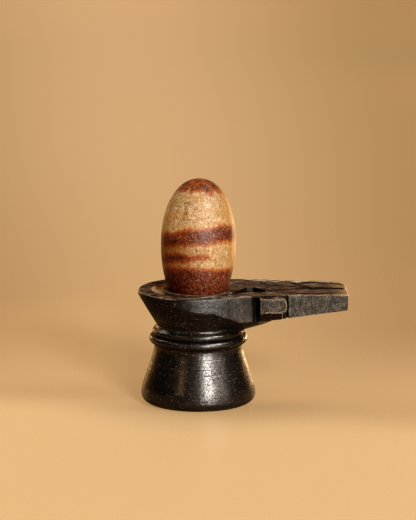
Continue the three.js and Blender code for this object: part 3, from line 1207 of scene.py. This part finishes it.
        mottle = desk.noise(where, *self.mottle)
        fine = desk.noise(where, *self.fine)
        turned = desk.noise(desk.place(self.turned_stretch), *self.turned)
        along = desk.place(self.along_stretch)
        streaks = desk.noise(along, *self.streaks)
        pits = desk.flecks(desk.place(self.pit_stretch), *self.pits)

        base = desk.blend(desk.between(mottle, *self.brown_mottle), self.black, self.brown)
        rubbed = desk.between(turned, *self.rubbed_turned, (0.0, self.rubbed_share))
        # The upper faces' brown is partly a painted reflection of the backdrop.
        tone = desk.blend(desk.between(streaks, *self.brown_streaks), self.top_dark, self.top_brown_and_reflection)
        tone = desk.blend(desk.flecks(along, *self.chalk), tone, self.top_dash)
        filed, grit = self.filed(desk, fine, mottle)
        # Painted glow on the tip's top and edges.
        glowing_tip = desk.product(desk.most(zone["edge"], top), zone["tip"])
        basin = desk.between(fine, *self.basin_cloud, self.basin_share)
        worn_and_highlit_edge = desk.between(fine, *self.worn_cloud, self.worn_share)
        layers = (
            (desk.product(under, rubbed), self.rubbed),
            (top, tone),
            # Painted light on the basin's far part.
            (desk.product(zone["basin"], basin), self.basin_painted_light),
            (desk.product(desk.specks(where, *self.dust), self.dust_share), self.grey_speck),
            (flat, filed),
            # Worn edges with painted highlights.
            (desk.product(zone["edge"], worn_and_highlit_edge), self.worn_and_highlit_edge),
            # Painted glints along the far rim.
            (desk.product(zone["rim"], desk.flecks(along, *self.far_rim_glint_flecks)), self.far_rim_painted_glint),
            # Painted glow on the tip.
            (desk.product(glowing_tip, self.tip_glow_share), self.tip_painted_glow),
            # Painted shade: the carved lines, the pocket, the scoop and the crease blacked in.
            (desk.product(shaded_recess, self.recess_shade_share), self.black),
        )
        for share, colour in layers:
            base = desk.blend(share, base, colour)

        dry = desk.most(
            desk.product(top, desk.between(streaks, *self.dry_streaks, self.top_dry)),
            desk.product(under, self.under_dry),
            shaded_recess,
            desk.product(zone["basin"], self.basin_dry),
            desk.math("MULTIPLY_ADD", zone["high"], *self.upper_dry),
        )
        rough = desk.most(
            desk.between(fine, *self.gloss_cloud, self.gloss),
            desk.product(dry, self.dry_roughness),
            desk.product(flat, self.flat_roughness),
        )
        bare = desk.most(dry, desk.product(flat, self.flat_dry), desk.product(pits, self.pit_dry))
        spread = desk.between(turned, *self.oil_turned, self.oil_share)
        oil = desk.product(desk.rest(bare), spread, zone["high"])
        cut = desk.product(desk.flecks(desk.place(self.cut_stretch), *self.cut), top)
        height = desk.total(
            (desk.noise(where, *self.grain), self.grain_relief),
            (turned, self.turned_relief),
            (pits, self.pit_relief),
            (desk.product(grit, flat), self.grit_relief),
            (cut, self.cut_relief),
        )
        values = {
            "Base Color": base,
            "Roughness": rough,
            "IOR": self.ior,
            "Coat Weight": oil,
            "Coat Roughness": self.oil_roughness,
            "Coat IOR": self.oil_ior,
            "Normal": desk.relief(height, self.relief_depth),
        }
        desk.fill(shader, values)
        return material


@dataclass(frozen=True)
class PaperFinish:
    """Tan studio paper that glows with painted light, brighter near the camera and darker towards its
    sides, with a painted pool of light and painted shade in front of the foot.
    """

    near: Colour = (0.37, 0.245, 0.130)
    far: Colour = (0.30, 0.187, 0.095)
    # The paper's glow and tone are painted light: brighter near the camera, darker far off and at the
    # sides.
    near_glow: Colour = (0.500, 0.303, 0.128)
    far_glow: Colour = (0.374, 0.214, 0.087)
    middle_glow: Colour = (0.386, 0.239, 0.108)
    horizon_glow: Colour = (0.44, 0.255, 0.113)
    side_shade: Colour = (0.66, 0.60, 0.53)
    # Painted light: a pool that brightens the paper behind the stand on the left.
    painted_light_pool: Colour = (1.20, 1.20, 1.20)
    # Painted shade on the paper in front of the foot.
    foot_shade: Colour = (0.74, 0.74, 0.76)
    fibre_tint: Colour = (1.0, 0.9, 0.7)
    fibre: Cloud = (0.9, 3.0, 0.8)
    fibre_wash: Wash = (0.30, 0.70, 0.10)
    bounce: float = 0.6
    near_y: float = -42.0
    far_y: float = 2.0
    slant: float = 0.32
    side_reach: float = 121.0
    side_growth: float = 0.09
    side_area: Zone = ((Axis.Y, 0.0, 140.0),)
    middle_area: Zone = ((Axis.Y, 100.0, 700.0),)
    horizon_area: Zone = ((Axis.Y, 800.0, 1550.0),)
    painted_light_pool_area: Zone = ((Axis.Y, 10.0, 50.0), (Axis.Y, 230.0, 150.0), (Axis.X, -20.0, -42.0))
    foot_area: Zone = ((Axis.OUT, 64.0, 24.0), (Axis.Y, 2.0, -14.0))
    roughness: float = 0.42
    relief_depth: float = 0.05
    relief_strength: float = 0.12

    def material(self) -> Material:
        """Builds the floor's material.

        Returns:
            The material.
        """
        material, desk, shader = new_material("studio_paper")
        x, y = desk.read(Axis.X), desk.read(Axis.Y)
        away = desk.between(desk.total((y, 1.0), (x, self.slant)), self.near_y, self.far_y)
        reach = desk.math("MULTIPLY_ADD", y, self.side_growth, self.side_reach)
        across = desk.math("DIVIDE", x, reach)
        aside = desk.math("ADD", desk.between(across, 0.0, 1.0), desk.between(across, 0.0, -1.0))
        aside = desk.product(aside, desk.zone(self.side_area))
        tone = desk.blend(aside, desk.blend(away, self.near, self.far), self.side_shade, "MULTIPLY")
        fibre = desk.noise(desk.place(), *self.fibre)
        tone = desk.wash(tone, fibre, self.fibre_wash, self.fibre_tint)

        glow = desk.blend(away, self.near_glow, self.far_glow)
        glow = desk.blend(desk.zone(self.middle_area), glow, self.middle_glow)
        glow = desk.blend(desk.zone(self.horizon_area), glow, self.horizon_glow)
        glow = desk.blend(aside, glow, self.side_shade, "MULTIPLY")
        # Painted light: the pool behind the stand on the left.
        glow = desk.blend(desk.zone(self.painted_light_pool_area), glow, self.painted_light_pool, "MULTIPLY")
        # Painted shade in front of the foot.
        glow = desk.blend(desk.zone(self.foot_area), glow, self.foot_shade, "MULTIPLY")
        seen = desk.node("ShaderNodeLightPath").outputs["Is Camera Ray"]
        seen = desk.between(seen, 0.0, 1.0, (self.bounce, 1.0))
        values = {
            "Base Color": desk.blend(1.0, tone, seen, "MULTIPLY"),
            "Emission Color": desk.blend(1.0, glow, seen, "MULTIPLY"),
            "Emission Strength": 1.0,
            "Roughness": self.roughness,
            "Normal": desk.relief(fibre, self.relief_depth, self.relief_strength),
        }
        desk.fill(shader, values)
        return material


# ---------------------------------------------------------------------------------------------
# The stone
# ---------------------------------------------------------------------------------------------


@dataclass
class RiverStone:
    """The egg-shaped stone, blunter above than below, standing on a small flat spot."""

    radius: float = 15.0
    widest_z: float = 64.4
    top_z: float = 90.5
    lower_reach: float = 29.0
    squareness: float = 2.12
    lean: float = 0.012
    seat_z: float = 36.8
    segments: int = 96
    levels: int = 56
    tip_share: float = 0.25
    least_radius: float = 0.2
    shrink: float = 0.05
    skin: tuple[Point2, ...] = ((9.0, 0.22), (1.4, 0.10))

    def radius_at(self, z: float) -> float:
        """The stone's radius at a height.

        Args:
            z: The height.

        Returns:
            The radius.
        """
        reach = self.top_z - self.widest_z if z > self.widest_z else self.lower_reach
        level = min(1.0, abs(z - self.widest_z) / reach)
        return self.radius * (1 - level**self.squareness) ** (1 / self.squareness)

    def ring(self, z: float, wide: float) -> tuple[float, ...]:
        """A level ring of the leaning stone: (centre x, height, reach along x, reach along y)."""
        return (self.lean * (z - self.widest_z), z, wide, wide)

    def rings(self) -> list[tuple[float, ...]]:
        """The stone's level rings, closer together towards both ends.

        Returns:
            The rings, lowest first.
        """
        found = []
        for i in range(self.levels):
            share = (1 - math.cos(math.pi * (i + self.tip_share) / self.levels)) / 2
            z = self.seat_z + (self.top_z - self.seat_z) * (share if i else 0.0)
            found.append(self.ring(z, max(self.least_radius, self.radius_at(z) - self.shrink)))
        return found

    def build(self) -> Piece:
        """Shapes the stone.

        Returns:
            The finished mesh.
        """
        piece = Bench.stack("river_stone", self.segments, self.rings())
        Bench.work(piece, "SUBSURF", levels=1, render_levels=1)
        Bench.roughen(piece, *self.skin)
        return piece


# ---------------------------------------------------------------------------------------------
# The stand
# ---------------------------------------------------------------------------------------------


@dataclass
class Foot:
    """The flared foot and the big ring, turned in one piece."""

    radius: float = 23.0
    edge_round: float = 3.6
    flat: tuple[Point2, ...] = ((0.0, 0.0), (8.0, 0.0), (15.0, 0.0))
    shoulder: tuple[Point2, ...] = ((22.75, 6.8), (22.2, 8.0))
    flare: tuple[Point2, ...] = ((19.7, 15.0), (17.9, 21.4))
    neck: tuple[Point2, ...] = ((17.68, 22.9), (17.66, 24.1))
    ring_centre: Point2 = (18.0, 26.0)
    ring_bead: float = 1.75
    crease: Point2 = (18.3, 27.55)
    stub: Point2 = (16.0, 28.6)
    steps: int = 460
    groove_depth: float = 0.07
    groove_width: float = 0.13
    grooves: tuple[float, ...] = (20.2, 16.6, 14.35)
    skin: tuple[Point2, ...] = ((11.0, 0.16), (1.6, 0.04), (0.55, 0.05))
    pressed: float = 0.15

    def outline(self) -> list[Point2]:
        """The foot's outline from the axis underneath to the axis above.

        Returns:
            Points of (radius, height).
        """
        run = list(self.flat)
        run += arc((self.radius - self.edge_round, self.edge_round), self.edge_round, -90, 0, 14)
        run += curve(8, run[-1], *self.shoulder)
        run += curve(110, run[-1], *self.flare)
        run += self.neck
        run += arc(self.ring_centre, self.ring_bead, -72, 58, 22)
        run += [self.crease, self.stub, (0.0, self.stub[1])]
        return [self.scored(point) for point in run]

    def scored(self, point: Point2) -> Point2:
        """A point of the outline with the turning lines cut in.

        Args:
            point: (radius, height).

        Returns:
            The point, drawn in where a line passes.
        """
        radius, z = point
        depth = 0.0
        for at in self.grooves:
            depth += self.groove_depth * math.exp(-(((z - at) / self.groove_width) ** 2))
        return (radius - depth, z) if radius > 1 else point

    def build(self) -> Piece:
        """Turns the foot.

        Returns:
            The finished mesh.
        """
        piece = Bench.turn("stand_foot", self.outline(), self.steps)
        Bench.roughen(piece, *self.skin)
        Bench.level_underside(piece, self.pressed)
        return piece


@dataclass
class Lug:
    """The block on the near side of the spout, with the scoop beside it."""

    start: float = 20.7
    waist_y: float = -17.1
    corner: Point2 = (23.2, -18.6)
    face: float = 25.6
    end: float = 34.3
    out: float = -19.3
    top: float = 45.0
    crown: Point2 = (-16.6, 0.15)
    low: float = 39.6
    edge_round: float = 0.8
    edge_steps: int = 4
    corner_round: float = 3.2
    low_round: float = 1.7
    corner_drop: float = 0.4
    scoop: Point2 = (22.15, -17.5)
    scoop_reach: Point2 = (1.35, 2.8)
    scoop_top: float = 45.5
    crease_width: float = 0.7
    crease_reach: float = 1.7
    floor_z: float = 35.3
    floor_rise: float = 0.2
    side_y: float = -15.5
    root_y: float = -12.0
    head_top: float = 46.0

    def build(self) -> Piece:
        """Cuts the block.

        Returns:
            The solid.
        """
        plan = [(self.start, self.root_y), (self.start, self.waist_y), self.corner]
        plan += [(self.face, self.out), (self.end, self.out), (self.end, self.root_y)]
        block = Bench.raise_plan("lug", plan, self.floor_z, self.head_top)
        section = [
            (self.root_y, self.head_top),
            (self.crown[0], self.head_top - self.crown[1]),
            (self.out, self.top),
            (self.out, self.low),
            (self.side_y, self.floor_z + self.floor_rise),
            (self.root_y, self.floor_z + self.floor_rise),
        ]
        corners = [(self.start - 1, y, z) for y, z in section]
        shape = Bench.slab("lug_section", corners, (self.end - self.start + 2, 0, 0))
        Bench.combine(block, shape, Side.KEEP_SHARED)
        corners = [(x, self.root_y, z) for x, z in self.front()]
        face = Bench.slab("lug_face", corners, (0, self.out - 2 - self.root_y, 0))
        Bench.combine(block, face, Side.KEEP_SHARED)
        Bench.round_near_face(block, self.edge_round, self.edge_steps)
        return block

    def front(self) -> list[Point2]:
        """The block's outline from the front, with both corners at its end rounded.

        Returns:
            Points of (x, z).
        """
        r, s = self.corner_round, self.low_round
        run = [(self.start - 1, self.floor_z - 1), (self.end - s, self.floor_z - 1)]
        run += arc((self.end - s, self.low + s), s, -90, 0, 8)
        run += arc((self.end - r, self.head_top - self.corner_drop - r), r, 0, 90, 10)
        return run + [(self.end - r, self.head_top), (self.start - 1, self.head_top)]

    def hollow(self) -> Piece:
        """Raises the scoop between the waist and the block.

        Returns:
            The room that is cut away.
        """
        (x, y), (along, across) = self.scoop, self.scoop_reach
        plan = [(x + (px * along), y + (py * across)) for px, py in arc((0, 0), 1.0, 0, 350, 35)]
        return Bench.raise_plan("scoop", plan, self.floor_z - 1, self.scoop_top)

    def crease(self) -> Piece:
        """Raises the narrow crease where the block meets the spout's side.

        Returns:
            The room that is cut away.
        """
        start, end, deep = self.end, self.end + self.crease_width, self.side_y + self.crease_reach
        plan = [(start, self.out), (end, self.out), (end, deep), (start, deep)]
        return Bench.raise_plan("crease", plan, self.floor_z - 1, self.scoop_top)


@dataclass
class Head:
    """The small ring, the neck, the bowl and the spout, carved in one piece.

    Each root station is (height, reach along x, reach along y). Each line is its width and its run.
    """

    top_z: float = 46.0
    bowl_radius: float = 24.1
    ring_centre: Point2 = (17.0, 29.0)
    ring_bead: float = 1.45
    neck_radius: float = 16.75
    neck_z: Point2 = (31.2, 32.0)
    cone_foot: Point2 = (17.45, 32.9)
    cone_slope: float = 0.593
    low_z: float = 26.9
    low_radius: float = 16.2
    basin_radius: float = 18.9
    basin_floor_radius: float = 18.0
    basin_depth: float = 1.5
    collar_radius: float = 14.2
    collar_foot_radius: float = 14.7
    collar_drop: float = 0.2
    tip_x: float = 59.2
    side_y: float = -15.5
    start_x: float = 15.0
    rise_x: float = 24.5
    spout_low: float = 35.3
    tip_low: float = 39.6
    root_x: float = 10.0
    root_stations: tuple[Point3, ...] = (
        (28.4, 4.0, 4.0), (29.6, 9.0, 7.0), (30.3, 10.9, 9.0), (31.4, 14.0, 12.0),
        (32.5, 17.6, 14.4), (33.6, 20.6, 16.2), (35.3, 23.5, 18.0), (37.2, 25.0, 19.6),
        (38.7, 25.5, 20.9), (46.0, 27.0, 25.0),
    )
    near_shoulder: tuple[Point2, ...] = ((-8.3, -24.0), (4.2, -21.9), (10.7, -20.0))
    near_waist: tuple[Point2, ...] = ((14.3, -18.8), (17.6, -17.3))
    near_side: tuple[Point2, ...] = ((20.7, -17.1), (21.3, -15.5), (58.3, -15.5))
    tip_round: float = 0.9
    tip_middle: Point2 = (59.6, 5.0)
    far_corner: tuple[Point2, ...] = ((59.4, 9.6), (57.0, 12.9), (51.0, 13.9))
    far_edge: Point2 = (39.0, 15.2)
    far_waist: tuple[Point2, ...] = ((33.0, 16.2), (31.0, 18.4), (25.0, 18.9))
    lean_z: float = 36.0
    lean_in: float = 0.955
    edge_steps: tuple[Point2, ...] = ((0.07, 0.45), (0.16, 0.38), (0.25, 0.24), (0.24, 0.10))
    tongue_plan: tuple[Point2, ...] = (
        (10.4, -9.2), (13.2, -8.8), (19.4, 0.8), (22.4, 1.0), (27.0, -5.9), (40.7, -2.6),
        (42.7, -0.8), (36.7, 2.5), (32.7, 3.4), (28.2, 5.8), (25.6, 9.4), (14.0, 10.2),
        (11.0, 8.0),
    )
    tongue_depth: float = 8.0
    pocket_plan: tuple[Point2, ...] = (
        (13.0, -9.4), (16.0, -9.9), (25.0, -7.7), (27.3, -6.0), (22.4, 1.0), (19.4, 0.8),
    )
    pocket_depth: float = 1.9
    engraved: tuple[tuple[float, tuple[Point2, ...]], ...] = (
        (2.3, ((26.8, -6.0), (33.5, -4.0), (40.7, -2.4), (45.6, -1.6))),
        (1.7, ((14.0, 10.6), (25.6, 9.8), (28.4, 6.0), (32.7, 3.6), (37.0, 2.6), (43.2, -0.7))),
        (1.9, ((37.8, 8.4), (43.1, 1.9), (46.0, -1.8))),
        (3.1, ((44.6, -1.7), (50.0, -2.4), (56.7, -3.0), (60.2, -4.6))),
        (2.2, ((38.0, 8.6), (47.5, 9.8), (53.9, 8.2), (60.2, 3.2))),
    )
    line_depth: float = 1.0
    seat_gap: float = 0.3
    seat_levels: int = 24
    seat_rise: float = 4.0
    clear: float = 1.0
    turn_steps: int = 180
    root_steps: int = 160
    seat_steps: int = 120
    voxel: float = 0.27
    wear: tuple[float, int] = (0.5, 2)
    skin: tuple[Point2, ...] = ((9.0, 0.16), (1.6, 0.05), (0.7, 0.065))
    most_triangles: int = 190000

    def cone(self) -> Piece:
        """Turns the small ring, the neck and the bowl's cone.

        Returns:
            The solid.
        """
        run = [(0.0, self.low_z), (self.low_radius, self.low_z)]
        run += arc(self.ring_centre, self.ring_bead, -60, 62, 18)
        low, pull = self.neck_z
        run += [(self.neck_radius, low)]
        run += curve(8, run[-1], (self.neck_radius, pull), self.cone_foot)
        reach = self.cone_foot[0] + self.cone_slope * (self.top_z - self.cone_foot[1])
        run += [(reach, self.top_z), (0.0, self.top_z)]
        return Bench.turn("stand_head", run, self.turn_steps)

    def flare(self) -> Piece:
        """Raises the flare that carries the spout out of the neck.

        Returns:
            The solid.
        """
        stations = eased(list(self.root_stations), 2)
        rings = [(self.root_x, z, along, across) for z, along, across in stations]
        return Bench.stack("root", self.root_steps, rings)

    def wedge(self) -> Piece:
        """Cuts the spout's wedge, level under the waist and rising to the tip.

        Returns:
            The solid.
        """
        end = self.tip_x + self.clear
        section = [
            (self.start_x, self.spout_low),
            (self.rise_x, self.spout_low),
            (end, self.tip_low),
            (end, self.top_z),
            (self.start_x, self.top_z),
        ]
        corners = [(x, self.bowl_radius, z) for x, z in section]
        return Bench.slab("wedge", corners, (0, -2 * self.bowl_radius, 0))

    def plan(self) -> list[Point2]:
        """The head's plan: the bowl's round, the waist and the blunt spout.

        Returns:
            Points of (x, y).
        """
        run = arc((0.0, 0.0), self.bowl_radius, 58, 235, 90)
        run += curve(24, run[-1], *self.near_shoulder)
        run += curve(8, run[-1], *self.near_waist)
        run += self.near_side
        corner = (self.tip_x, self.side_y)
        run += curve(5, run[-1], corner, (self.tip_x, self.side_y + self.tip_round))
        run += [self.tip_middle]
        run += curve(16, run[-1], *self.far_corner)
        run += [self.far_edge]
        return run + curve(16, run[-1], *self.far_waist)

    def walls(self) -> Piece:
        """Raises the plan with walls that lean in towards the top and a rounded upper edge.

        Returns:
            The solid.
        """
        piece = Bench.sheet("head_plan", [(x, y, self.low_z) for x, y in self.plan()])
        Bench.extrude((0, 0, self.lean_z - self.low_z))
        edge_z = self.top_z - sum(rise for _, rise in self.edge_steps)
        Bench.extrude((0, 0, edge_z - self.lean_z))
        bpy.ops.transform.resize(value=(1, self.lean_in, 1), center_override=(0, 0, edge_z * MM))
        for inset, rise in self.edge_steps:
            bpy.ops.mesh.inset(thickness=inset * MM, depth=rise * MM, use_even_offset=True)
        Bench.close_up()
        return piece

    def basin(self) -> Piece:
        """Turns the ring-shaped basin round the stone, with the first tongue left standing.

        Returns:
            The room that is cut away.
        """
        floor, above = self.top_z - self.basin_depth, self.top_z + self.clear
        collar = self.top_z - self.collar_drop
        outline = [
            (0.0, collar),
            (self.collar_radius, collar),
            (self.collar_foot_radius, floor),
            (self.basin_floor_radius, floor),
            (self.basin_radius, self.top_z),
            (self.basin_radius, above),
            (0.0, above),
        ]
        room = Bench.turn("basin", outline, self.turn_steps)
        low, high = self.top_z - self.tongue_depth, self.top_z + 2 * self.clear
        Bench.combine(room, Bench.raise_plan("tongue", self.tongue_plan, low, high), Side.CUT)
        return room

    def pocket(self) -> Piece:
        """Raises the room of the three-cornered pocket at the waist."""
        low, high = self.top_z - self.pocket_depth, self.top_z + self.clear
        return Bench.raise_plan("pocket", self.pocket_plan, low, high)

    def lines(self) -> list[Piece]:
        """Raises the engraved lines that outline both tongues.

        Returns:
            The rooms that are cut away.
        """
        low, high = self.top_z - self.line_depth, self.top_z + self.clear
        made = []
        for i, (width, run) in enumerate(self.engraved):
            near = [(x, y - width / 2) for x, y in run]
            far = [(x, y + width / 2) for x, y in reversed(run)]
            made.append(Bench.raise_plan(f"line_{i}", near + far, low, high))
        return made

    def seat(self, stone: RiverStone) -> Piece:
        """Raises the hole that takes the stone.

        Args:
            stone: The stone that stands in it.

        Returns:
            The room that is cut away.
        """
        rings = []
        for i in range(self.seat_levels + 1):
            z = stone.seat_z + (self.top_z + self.seat_rise - stone.seat_z) * i / self.seat_levels
            rings.append(stone.ring(z, stone.radius_at(z) + self.seat_gap))
        return Bench.stack("seat", self.seat_steps, rings)

    def build(self, stone: RiverStone) -> Piece:
        """Carves the head.

        Args:
            stone: The stone that stands in its seat.

        Returns:
            The finished mesh.
        """
        piece = self.cone()
        Bench.combine(piece, self.flare(), Side.JOIN)
        Bench.combine(piece, self.wedge(), Side.JOIN)
        Bench.combine(piece, self.walls(), Side.KEEP_SHARED)
        lug = Lug()
        block = lug.build()
        Bench.combine(block, self.wedge(), Side.KEEP_SHARED)
        Bench.combine(piece, block, Side.JOIN)
        for make in (lug.hollow, lug.crease, self.basin, self.pocket):
            Bench.combine(piece, make(), Side.CUT)
        for line in self.lines():
            Bench.combine(piece, line, Side.CUT)
        Bench.combine(piece, self.seat(stone), Side.CUT)
        skin = {"mode": "VOXEL", "voxel_size": self.voxel * MM, "use_smooth_shade": True}
        Bench.work(piece, "REMESH", **skin)
        factor, rounds = self.wear
        Bench.work(piece, "SMOOTH", factor=factor, iterations=rounds)
        Bench.roughen(piece, *self.skin)
        Bench.thin(piece, self.most_triangles)
        return piece


# ---------------------------------------------------------------------------------------------
# The studio
# ---------------------------------------------------------------------------------------------


def towards(azimuth: float, elevation: float) -> Vector:
    """Which way something stands from the object, for angles in degrees from the front."""
    a, e = math.radians(azimuth), math.radians(elevation)
    return Vector((math.sin(a) * math.cos(e), -math.cos(a) * math.cos(e), math.sin(e)))


def look_back(item: Piece, out: Vector) -> None:
    """Turns a camera or a light to look back against the way that it stands."""
    item.rotation_euler = (-out).to_track_quat("-Z", "Y").to_euler()


@dataclass
class Camera:
    """The camera, a little above the stand and a touch to its left."""

    azimuth: float = -3.0
    elevation: float = 10.9
    distance: float = 1.2
    aim: Point3 = (0.0039, 0.0, 0.0575)
    focal: float = 207.7
    sensor: float = 36.0
    clip: Point2 = (0.05, 20.0)

    def build(self) -> None:
        """Sets the camera up."""
        out = towards(self.azimuth, self.elevation)
        bpy.ops.object.camera_add(location=Vector(self.aim) + out * self.distance)
        camera = bpy.context.active_object
        look_back(camera, out)
        camera.data.lens = self.focal
        camera.data.sensor_width = self.sensor
        camera.data.clip_start, camera.data.clip_end = self.clip
        bpy.context.scene.camera = camera


@dataclass(frozen=True)
class Softbox:
    """One soft rectangular light, aimed at the object."""

    name: str
    azimuth: float
    elevation: float
    distance: float
    width: float
    height: float
    power: float
    colour: Colour
    shine_only: bool = False
    aim: Point3 = (0.0, 0.0, 0.05)

    def build(self) -> None:
        """Hangs the light."""
        out = towards(self.azimuth, self.elevation)
        bpy.ops.object.light_add(type="AREA", location=Vector(self.aim) + out * self.distance)
        light = bpy.context.active_object
        light.name = self.name
        look_back(light, out)
        light.data.shape = "RECTANGLE"
        light.data.size = self.width
        light.data.size_y = self.height
        light.data.energy = self.power
        light.data.color = self.colour
        light.visible_camera = False
        light.visible_diffuse = not self.shine_only


@dataclass(frozen=True)
class DistantLight:
    """A soft round light, far enough away to light the whole floor evenly."""

    name: str
    azimuth: float
    elevation: float
    spread: float
    strength: float
    colour: Colour
    diffuse: bool = True
    shine: bool = True
    distance: float = 2.0

    def build(self) -> None:
        """Hangs the light."""
        out = towards(self.azimuth, self.elevation)
        bpy.ops.object.light_add(type="SUN", location=out * self.distance)
        light = bpy.context.active_object
        light.name = self.name
        look_back(light, out)
        light.data.angle = math.radians(self.spread)
        light.data.energy = self.strength
        light.data.color = self.colour
        light.visible_diffuse = self.diffuse
        light.visible_glossy = self.shine


@dataclass
class Studio:
    """The floor, the air round it and the lights."""

    floor_size: float = 16.0
    air_back: Colour = (0.15, 0.095, 0.055)
    air_front: Colour = (0.022, 0.020, 0.018)
    air_behind: Point2 = (0.25, 0.80)
    air_above: Point2 = (0.98, 0.60)
    air_share: Point2 = (0.25, 1.0)
    shadow_curve: tuple[Point2, ...] = ((0.012, 0.004), (0.04, 0.026), (0.12, 0.112), (0.3, 0.3))
    distant: tuple[DistantLight, ...] = (
        DistantLight("key", 21.0, 26.0, 15.0, 3.25, (1.0, 0.91, 0.81)),
        DistantLight("glint", 19.0, 9.0, 20.0, 1.9, (1.0, 0.94, 0.87), diffuse=False),
        DistantLight("glow", 40.0, 15.0, 40.0, 0.9, (1.0, 0.84, 0.67), diffuse=False),
        DistantLight("crown", 51.0, 46.0, 22.0, 3.4, (1.0, 0.90, 0.80), diffuse=False),
        DistantLight("side", 68.0, 26.0, 16.0, 0.62, (1.0, 0.82, 0.62), shine=False),
        DistantLight("above", 150.0, 76.0, 70.0, 0.5, (1.0, 0.90, 0.76), shine=False),
    )
    lights: tuple[Softbox, ...] = (
        Softbox("rim", 156.0, 2.0, 1.1, 0.16, 0.22, 0.9, (1.0, 0.55, 0.24)),
        Softbox(
            "foot_rim", 147.0, 0.0, 0.36, 0.05, 0.03, 0.21, (1.0, 0.60, 0.29), True, (0.0, 0.0, 0.018)
        ),
        Softbox("left_rim", -154.0, 2.0, 1.1, 0.16, 0.22, 1.0, (1.0, 0.55, 0.24)),
        Softbox("left_sheen", -71.0, 44.0, 1.1, 0.34, 0.34, 0.9, (1.0, 0.95, 0.88), True),
        Softbox("top_rim", 160.0, 42.0, 1.1, 0.40, 0.14, 0.38, (1.0, 0.84, 0.64), True),
        Softbox("far_left", -128.0, 38.0, 1.2, 0.25, 0.4, 1.5, (1.0, 0.85, 0.66)),
        Softbox("warm_strip", -42.0, 26.0, 1.0, 0.05, 0.5, 0.9, (1.0, 0.62, 0.34)),
    )

    def floor(self) -> None:
        """Lays the floor."""
        bpy.ops.object.select_all(action="DESELECT")
        bpy.ops.mesh.primitive_plane_add(size=self.floor_size)
        floor = bpy.context.active_object
        floor.name = "studio_floor"
        floor.data.materials.append(PaperFinish().material())

    def air(self) -> None:
        """Fills the air with a dim warm light that is brighter at the back."""
        world = bpy.data.worlds.new("studio_air")
        world.use_nodes = True
        bpy.context.scene.world = world
        desk = Desk(world.node_tree)
        back = world.node_tree.nodes["Background"]
        _, y, z = desk.parts(desk.node("ShaderNodeTexCoord").outputs["Generated"])
        behind = desk.between(y, *self.air_behind)
        share = desk.product(behind, desk.between(z, *self.air_above, self.air_share))
        desk.feed(back.inputs["Color"], desk.blend(share, self.air_front, self.air_back))

    def develop(self) -> None:
        """Sets a plain view with a little more depth in the shadows."""
        view = bpy.context.scene.view_settings
        view.view_transform = "Standard"
        view.use_curve_mapping = True
        line = view.curve_mapping.curves[3]
        for spot in self.shadow_curve:
            line.points.new(*spot)
        view.curve_mapping.update()

    def build(self) -> None:
        """Sets the whole studio up."""
        self.floor()
        self.air()
        for light in (*self.distant, *self.lights):
            light.build()
            LOG.info("light %s at azimuth %.0f", light.name, light.azimuth)
        Camera().build()
        self.develop()


# ---------------------------------------------------------------------------------------------
# Order of work
# ---------------------------------------------------------------------------------------------


def dress(piece: Piece, material: Material, node: str) -> None:
    """Gives a piece its finish and its place in the frame.

    Args:
        piece: The piece.
        material: Its material.
        node: The CAD node that it stands for.
    """
    piece.data.materials.clear()
    piece.data.materials.append(material)
    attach(piece, BODY)
    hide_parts(node)
    piece.data.calc_loop_triangles()
    LOG.info("%s: %d triangles", piece.name, len(piece.data.loop_triangles))


def main() -> None:
    """Builds the stone, the stand and the studio."""
    logging.basicConfig(level=logging.INFO, format="%(name)s %(message)s")
    for effect in (speck_effect, fleck_effect, band_effect):
        effect()
    stone = RiverStone()
    black = BlackStoneFinish().material()
    banded = BandedStoneFinish().material()
    dress(stone.build(), banded, "lingam_stone")
    dress(Foot().build(), black, "yoni_stand")
    dress(Head().build(stone), black, "yoni_stand")
    Studio().build()


if __name__ == "__main__":
    main()
